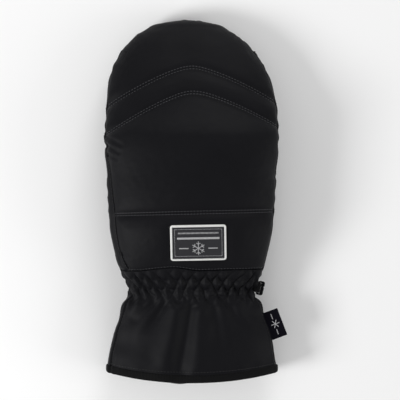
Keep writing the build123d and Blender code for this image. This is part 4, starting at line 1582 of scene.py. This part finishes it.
# %% The grip patch and its stitching
patch_low, patch_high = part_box("palm_grip_patch")
patch_middle = (patch_low + patch_high) / 2
patch_size = patch_high - patch_low
# The third colour is the painted shade in the grain's grooves.
coarse_leather = grained("pole_grip_leather", "0b0b0c", "050506", 2.1 * MM, 0.42, 0.0003)
patch_points = patch_grid(
    patch_middle, (patch_size.x - 1 * MM, patch_size.y - 1 * MM), 24 * MM, 0.0, 2 * MM, below=True, soften=2
)
patch_lift = np.full(patch_points.shape[:2], 1.0)
patch_lift[[0, -1]] = patch_lift[:, [0, -1]] = 0.75
grip = patch_sheet(
    "palm_grip_leather", patch_points, 0.1 * MM, patch_lift[..., None] * MM, coarse_leather, below=True
)
dress(grip, "palm_grip_patch")


def sewn_round(name, inset, lift):
    """A line of black stitches round the grip patch, set in from its edge, in millimetres."""
    path = []
    half_x, half_y = (patch_size[k] / 2 / MM - inset for k in (0, 1))
    for a, b in box_path(half_x, half_y, 24 - inset, step=1.2):
        x, y = patch_middle.x + a * MM, patch_middle.y + b * MM
        path.append((x, y, cloth_height(x, y, below=True) - lift))
    outs = np.tile(-UP, (len(path), 1))
    sizes = (STITCH, 1.9 * MM, 0.42 * MM, 0.4 * MM)
    made = lay_beads(name, [np.array(path)], [outs], black_thread, *sizes, seed=6)
    dress(made)


sewn_round("grip_patch_stitches_outer", 2.4, 1.0 * MM)
sewn_round("grip_patch_stitches_inner", 5.2, 1.02 * MM)

# %% [markdown]
# ## Elastic, webbing loop and clip
#
# Inside the gathers runs a wide woven elastic, ribbed along its length. Outside, a short loop of
# polyester webbing holds a small moulded clip, which keeps the pair of mittens together.

# %% The elastic in the wrist
elastic_low, elastic_high = (float(v[1]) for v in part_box("wrist_elastic"))
elastic_rows_y = np.linspace(elastic_low, elastic_high, 19)
elastic_base = np.array([tube_row(y) for y in elastic_rows_y])
elastic_normals = loop_normals(elastic_base)
ribs = 0.12 * MM * np.cos(np.arange(19) * math.pi)[:, None, None]
elastic_tape = webbing_finish("woven_rib_elastic", "151516", 0.9 * MM)
elastic_index = loop_index(19, TUBE_COLUMNS, False)
elastic = closed_panel(
    "wrist_elastic_tape",
    elastic_base - elastic_normals * (2.55 * MM + ribs),
    elastic_base - elastic_normals * 3.1 * MM,
    loop_faces(elastic_index, range(18), range(TUBE_COLUMNS)),
    cloth_lengths(elastic_base),
    elastic_tape,
)
dress(elastic, "wrist_elastic")


# %% The webbing loop
clip_root = np.array(joints["clip_swing"]["pos_m"])
clip_edge = -np.array(joints["clip_swing"]["axis"])
clip_reach = np.cross(clip_edge, UP)
clip_reach /= np.linalg.norm(clip_reach)
if clip_reach[0] < 0:
    clip_edge, clip_reach = -clip_edge, -clip_reach


def clip_space(out, along, up):
    """A point by the clip: out from its bar, along the bar, and up."""
    return clip_root + clip_reach * out + clip_edge * along + UP * up


LOOP_IN, LOOP_OUT, LOOP_BACK = 1.25 * MM, 2.05 * MM, 3.6 * MM
bends = np.linspace(math.pi / 2, -math.pi / 2, 13)
loop_outline = [(-LOOP_BACK + LOOP_BACK * k / 6, LOOP_OUT) for k in range(6)]
loop_outline += [(LOOP_OUT * math.cos(t), LOOP_OUT * math.sin(t)) for t in bends]
loop_outline += [(-LOOP_BACK + LOOP_BACK * k / 6, -LOOP_OUT) for k in range(5, -1, -1)]
loop_outline += [(-LOOP_BACK + LOOP_BACK * k / 6, -LOOP_IN) for k in range(6)]
loop_outline += [(LOOP_IN * math.cos(t), LOOP_IN * math.sin(t)) for t in bends[::-1]]
loop_outline += [(-LOOP_BACK + LOOP_BACK * k / 6, LOOP_IN) for k in range(5, -1, -1)]
webbing = webbing_finish("ribbed_polyester_webbing", "0b0b0c", 1.1 * MM, 0.0005)
loop_strip = strip_piece(
    "webbing_loop_strap", loop_outline, clip_space, np.linspace(-4 * MM, 4 * MM, 9), webbing
)
dress(loop_strip, "webbing_loop")


# %% The clip's finish
def acetal_finish():
    """Moulded acetal: black, dull, with the fine spark texture of its mould."""
    material, tree, shader = start_material("black_acetal", Roughness=0.6, Specular_IOR_Level=0.06)
    spark = cloudy(tree, 1 / (0.5 * MM), 2.0)
    two_tones(tree, shader, spark, "060607", "0e0e10")
    emboss(tree, shader, spark, 0.06 * MM)
    return material


def rod(name, line, half_out, half_up, material, points=14):
    """A moulded rod along a line of (out, along) millimetres by the clip, closed at both ends."""
    line = np.array(line, float)
    heading = np.gradient(line, axis=0)
    heading /= np.linalg.norm(heading, axis=1, keepdims=True)
    sideways = np.stack([heading[:, 1], -heading[:, 0]], 1)
    count = len(line)
    ends = np.minimum(np.arange(count), np.arange(count)[::-1])
    taper = np.sqrt(1 - np.clip(1 - ends / 2.0, 0, 1) ** 2) * 0.8 + 0.2
    turn = np.arange(points) / points * 2 * math.pi
    wide = np.sign(np.cos(turn)) * np.abs(np.cos(turn)) ** 0.6 * half_out
    tall = np.sign(np.sin(turn)) * np.abs(np.sin(turn)) ** 0.6 * half_up
    verts, faces = [], []
    for k in range(count):
        for w, h in zip(wide * taper[k], tall * taper[k]):
            a, b = line[k] + sideways[k] * w
            verts.append(tuple(clip_space(a * MM, b * MM, h * MM)))
    for k in range(count - 1):
        for c in range(points):
            d = (c + 1) % points
            faces.append((k * points + c, k * points + d, (k + 1) * points + d, (k + 1) * points + c))
    faces.append(tuple(range(points))[::-1])
    faces.append(tuple(range((count - 1) * points, count * points)))
    return smooth_piece(name, verts, faces, material, turn_out=True)


def corner_path(points, radius, step=0.25):
    """A path through corners given in millimetres, each rounded off."""
    points = [np.array(p, float) for p in points]
    made = [points[0]]
    for a, b, c in zip(points, points[1:], points[2:]):
        start, end = (b + (p - b) / np.linalg.norm(p - b) * radius for p in (a, c))
        made += [(1 - t) ** 2 * start + 2 * t * (1 - t) * b + t * t * end for t in np.linspace(0, 1, 7)]
    made.append(points[-1])
    full_path = [made[0]]
    for a, b in zip(made, made[1:]):
        count = max(1, round(float(np.linalg.norm(b - a)) / step))
        full_path += [a + (b - a) * k / count for k in range(1, count + 1)]
    return full_path


acetal = acetal_finish()
CLIP_DEEP, CLIP_WIDE = 4.0, 4.95
clip_frame = [(CLIP_DEEP, 1.55), (CLIP_DEEP, CLIP_WIDE), (0.0, CLIP_WIDE)]
clip_frame += [(0.0, -CLIP_WIDE), (CLIP_DEEP, -CLIP_WIDE), (CLIP_DEEP, 1.2)]
clip_body = rod("pair_clip_frame", corner_path(clip_frame, 1.0), 0.75, 1.15, acetal)
dress(clip_body, "pair_clip", body="clip")
clip_middle = corner_path([(2.98, 4.5), (2.98, 0.0), (2.98, -4.5)], 0.5)
dress(rod("pair_clip_tongue", clip_middle, 0.89, 0.75, acetal), body="clip")

# %% [markdown]
# ## Thumb
#
# The thumb is a padded pouch of its own, folded flat under the palm. Its nylon back and its
# leather palm meet in a seam all round. It is measured and puffed in the same way as the hand,
# in its own frame, which is turned about the hole where it joins the palm.

# %% Measure the thumb
hinge = np.array(joints["thumb_swing"]["pos_m"])
THUMB_LEAN = math.radians(-5.0)
lean_c, lean_s = math.cos(THUMB_LEAN), math.sin(THUMB_LEAN)


def to_thumb(points):
    """Points of the mitten's frame in the thumb's own."""
    x, y = points[..., 0] - hinge[0], points[..., 1] - hinge[1]
    return np.stack([lean_c * x + lean_s * y, lean_c * y - lean_s * x, points[..., 2]], -1)


def from_thumb(points):
    """The way back."""
    x, y, z = points[..., 0], points[..., 1], points[..., 2]
    return np.stack([lean_c * x - lean_s * y + hinge[0], lean_s * x + lean_c * y + hinge[1], z], -1)


thumb_ends = to_thumb(cut_edges(["thumb_back_panel", "thumb_palm_panel"]))
THUMB_LOW, THUMB_HIGH = thumb_ends[..., 1].min() + 0.1 * MM, thumb_ends[..., 1].max() - 0.1 * MM
THUMB_MIDDLE = (thumb_ends[..., 2].min() + thumb_ends[..., 2].max()) / 2
thumb_stations = np.arange(THUMB_LOW + 1.5 * MM, THUMB_HIGH - 1.5 * MM, 1.5 * MM)
thumb_half, thumb_height = [], []
for y in thumb_stations:
    places = cut(thumb_ends, y)
    thumb_half.append(np.abs(places[:, 0]).max())
    thumb_height.append(np.abs(places[:, 2] - THUMB_MIDDLE).max())
thumb_height = np.array(thumb_height)
thumb_height[np.abs(thumb_stations) < 13 * MM] = thumb_height.max()


def thumb_section(y, inset=0.0):
    """Half width and half height of the thumb at y, drawn in by inset, round at both ends."""
    low, high = THUMB_LOW + inset, THUMB_HIGH - inset
    half = np.interp(y, thumb_stations, thumb_half) - inset
    height = np.interp(y, thumb_stations, thumb_height) - inset
    ends = [(low + 4 * MM, y, low), (-(high - 4 * MM), -y, -high)]
    for start, place, end in ends:
        past = np.sqrt(np.clip(1 - (np.clip(start - place, 0, None) / (start - end)) ** 2, 0, 1))
        half, height = half * (0.25 + 0.75 * past), height * past
    return half, height


THUMB_ROWS, THUMB_COLUMNS = 64, 72
THUMB_SIDE = THUMB_COLUMNS // 2


def thumb_grid(rows, inset=0.0):
    """Loops round the thumb, with its thumb-side seams at the first and the middle column."""
    even = np.linspace(0, 1, rows)
    share = 0.45 * even + 0.55 * (1 - np.cos(math.pi * even)) / 2
    y = THUMB_LOW + inset + (THUMB_HIGH - THUMB_LOW - 2 * inset) * share
    turn = np.arange(THUMB_COLUMNS) / THUMB_COLUMNS * 2 * math.pi
    half, height = (v[:, None] for v in thumb_section(y, inset))
    x = -half * np.cos(turn)
    z = THUMB_MIDDLE + height * np.sin(turn) + 0 * x
    return from_thumb(np.stack([x, y[:, None] + 0 * x, z], -1))


thumb_full = thumb_grid(THUMB_ROWS)
print("thumb", round((THUMB_HIGH - THUMB_LOW) * 1000), "mm long")

# %% Puff the thumb between its seams
thumb_local = to_thumb(thumb_full)
thumb_held = np.zeros(thumb_full.shape[:2], bool)
thumb_held[[0, 1, -2, -1]] = True
thumb_held[:, [0, 1, THUMB_COLUMNS - 1, THUMB_SIDE - 1, THUMB_SIDE, THUMB_SIDE + 1]] = True
ring_distance = np.hypot(thumb_local[..., 0], thumb_local[..., 1])
thumb_held |= (ring_distance < 16 * MM) & (np.arange(THUMB_COLUMNS) < THUMB_SIDE)
thumb_outward = loop_normals(thumb_full)
side_columns = [0, THUMB_SIDE]
thumb_puffed = thumb_full - thumb_outward * 0.35 * MM
thumb_puffed[:, side_columns] = thumb_full[:, side_columns] - thumb_outward[:, side_columns] * 0.9 * MM
thumb_puffed[[0, -1]] = thumb_full[[0, -1]]
thumb_rough = random.normal(0, 0.06 * MM, thumb_held.shape)
thumb_puffed += np.where(thumb_held, 0, thumb_rough)[..., None] * thumb_outward
thumb_shape = simulate(
    thumb_puffed, thumb_held, growth=0.014, pressure=3.0, steps=16, closed_tip=False
)
thumb_shape = thumb_puffed + 0.8 * (capped(thumb_puffed, thumb_shape, 2.5 * MM) - thumb_puffed)
THUMB_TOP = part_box("thumb_back_panel")[1].z
thumb_shape[..., 2] = np.clip(thumb_shape[..., 2], 0.25 * MM, THUMB_TOP)

# %% The thumb's panels and plies
fine_thumb = finer(thumb_shape, 2)
fine_thumb[..., 2] = np.clip(fine_thumb[..., 2], 0.25 * MM, THUMB_TOP)
fine_thumb_out = loop_normals(fine_thumb)
thumb_inner = fine_thumb - fine_thumb_out * 0.8 * MM
thumb_inner[[0, -1]] = (fine_thumb[[1, -2]] + fine_thumb[[0, -1]]) * 0.5
thumb_index = loop_index(len(fine_thumb), fine_thumb.shape[1], False)
thumb_lengths = cloth_lengths(fine_thumb)


def thumb_holed(faces, points):
    """The faces, without those on the thumb's back that lie inside the hole."""
    local = to_thumb(points).reshape(-1, 3)
    kept = []
    for face in faces:
        x, y, z = local[list(face)].mean(0)
        if z < THUMB_MIDDLE or math.hypot(x, y) > 11.8 * MM:
            kept.append(face)
    return kept


thumb_parts = {
    "thumb_back_panel": (range(0, 2 * THUMB_SIDE), nylon, "shell_fabric"),
    "thumb_palm_panel": (range(2 * THUMB_SIDE, 2 * THUMB_COLUMNS), leather, "palm_leather"),
}
for name, (columns, material, finish) in thumb_parts.items():
    faces = thumb_holed(loop_faces(thumb_index, range(len(fine_thumb) - 1), columns), fine_thumb)
    panel = closed_panel(f"{name}_cloth", fine_thumb, thumb_inner, faces, thumb_lengths, material)
    dress(panel, name, body="thumb")
    print(panel.name, len(panel.data.polygons), "faces")
PLY_ROWS = 40
thumb_plies = {
    "thumb_batting": (2.4 * MM, 3.5 * MM, padding, "batting"),
    "thumb_membrane": (3.9 * MM, 4.2 * MM, film, "membrane"),
    "thumb_lining": (4.5 * MM, 5.3 * MM, fleece, "lining_fleece"),
}
for name, (outset, inset, material, finish) in thumb_plies.items():
    outer, inner = thumb_grid(PLY_ROWS, outset), thumb_grid(PLY_ROWS, inset)
    ply_index = loop_index(PLY_ROWS, THUMB_COLUMNS, False)
    faces = thumb_holed(loop_faces(ply_index, range(PLY_ROWS - 1), range(THUMB_COLUMNS)), outer)
    ply = closed_panel(f"{name}_ply", outer, inner, faces, cloth_lengths(outer), material)
    dress(ply, name, body="thumb")

# %% The collar between palm and thumb
COLLAR_POINTS, COLLAR_ROWS = 96, 9
collar_low = THUMB_TOP - 0.6 * MM
turn = np.arange(COLLAR_POINTS) / COLLAR_POINTS * 2 * math.pi
collar_x, collar_y = hinge[0] + 12.6 * MM * np.cos(turn), hinge[1] + 12.6 * MM * np.sin(turn)
collar_high = np.array([cloth_height(x, y, below=True) for x, y in zip(collar_x, collar_y)]) + 0.5 * MM
share = np.linspace(0, 1, COLLAR_ROWS)[:, None]
bulge = np.sin(math.pi * share) * (0.5 + 0.35 * np.cos(24 * turn))[None]
collar_grids = []
for radius in (13.2, 12.2):
    r = radius * MM + bulge * MM
    z = collar_low + share * (collar_high - collar_low)[None]
    collar_grids.append(np.stack([hinge[0] + r * np.cos(turn), hinge[1] + r * np.sin(turn), z + 0 * r], -1))
collar_index = loop_index(COLLAR_ROWS, COLLAR_POINTS, False)
collar_faces = loop_faces(collar_index, range(COLLAR_ROWS - 1), range(COLLAR_POINTS))
collar = closed_panel(
    "thumb_collar_cloth", *collar_grids, collar_faces, cloth_lengths(collar_grids[0]), nylon
)
dress(collar, "thumb_collar", body=None)
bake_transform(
    collar, "mitten", "thumb",
    start=(float(hinge[0]), float(hinge[1]), float(collar_high.min() - 0.6 * MM)),
    end=(float(hinge[0]), float(hinge[1]), float(collar_low + 0.4 * MM)),
)  # fmt: skip

# %% [markdown]
# ## Stitches on the sides, hem, cuff and thumb
#
# The remaining seams are sewn with black thread: the side seams of the hand, the strip beside
# the thumb, the cuff's seams, two lines round the hem, and the seam round the thumb.


# %% Lines of black thread
def stitch_lines(name, lines, body):
    """Black stitches along several lines of (points, outward)."""
    paths, outs = [place + out * 0.1 * MM for place, out in lines], [out for _, out in lines]
    made = lay_beads(name, paths, outs, black_thread, STITCH, 1.8 * MM, 0.4 * MM, 0.3 * MM, seed=8)
    dress(made, body=body)


hand_lines = []
for column in (GC - 1, GC + 1):
    hand_lines.append((fine_hand[2:GUSSET_FINE, column], fine_normals[2:GUSSET_FINE, column]))
for column in (half_fine - 2, half_fine + 2):
    hand_lines.append((fine_hand[2:-3, column], fine_normals[2:-3, column]))
stitch_lines("hand_side_stitches", hand_lines, "mitten")
sleeve_lines = []
for row in (5, 8):
    ring = np.append(np.arange(TUBE_COLUMNS), 0)
    sleeve_lines.append((sleeve[row][ring], sleeve_normals[row][ring]))
for column in (CUFF_SEAM + 2, CUFF_SEAM_RIGHT - 2):
    sleeve_lines.append((sleeve[3 : cuff_rows - 1, column], sleeve_normals[3 : cuff_rows - 1, column]))
stitch_lines("cuff_stitches", sleeve_lines, "mitten")
thumb_lines = []
for column in (2, 2 * THUMB_SIDE - 2, 2 * THUMB_SIDE + 2, 2 * THUMB_COLUMNS - 2):
    thumb_lines.append((fine_thumb[4:-4, column], fine_thumb_out[4:-4, column]))
stitch_lines("thumb_seam_stitches", thumb_lines, "thumb")

# %% [markdown]
# ## Paper floor
#
# The mitten lies on a sheet of matt white paper, with a faint tooth that keeps it from looking
# like a lamp.


def paper_finish():
    """Matt paper: a pale, even grey-white with a fine felt-like tooth."""
    material, tree, shader = start_material(
        "matt_white_paper", "f7f7f7", Roughness=0.92, Specular_IOR_Level=0.2
    )
    emboss(tree, shader, cloudy(tree, 900.0, 2.0), 0.02 * MM, 0.3)
    return material


floor.data.materials.append(paper_finish())
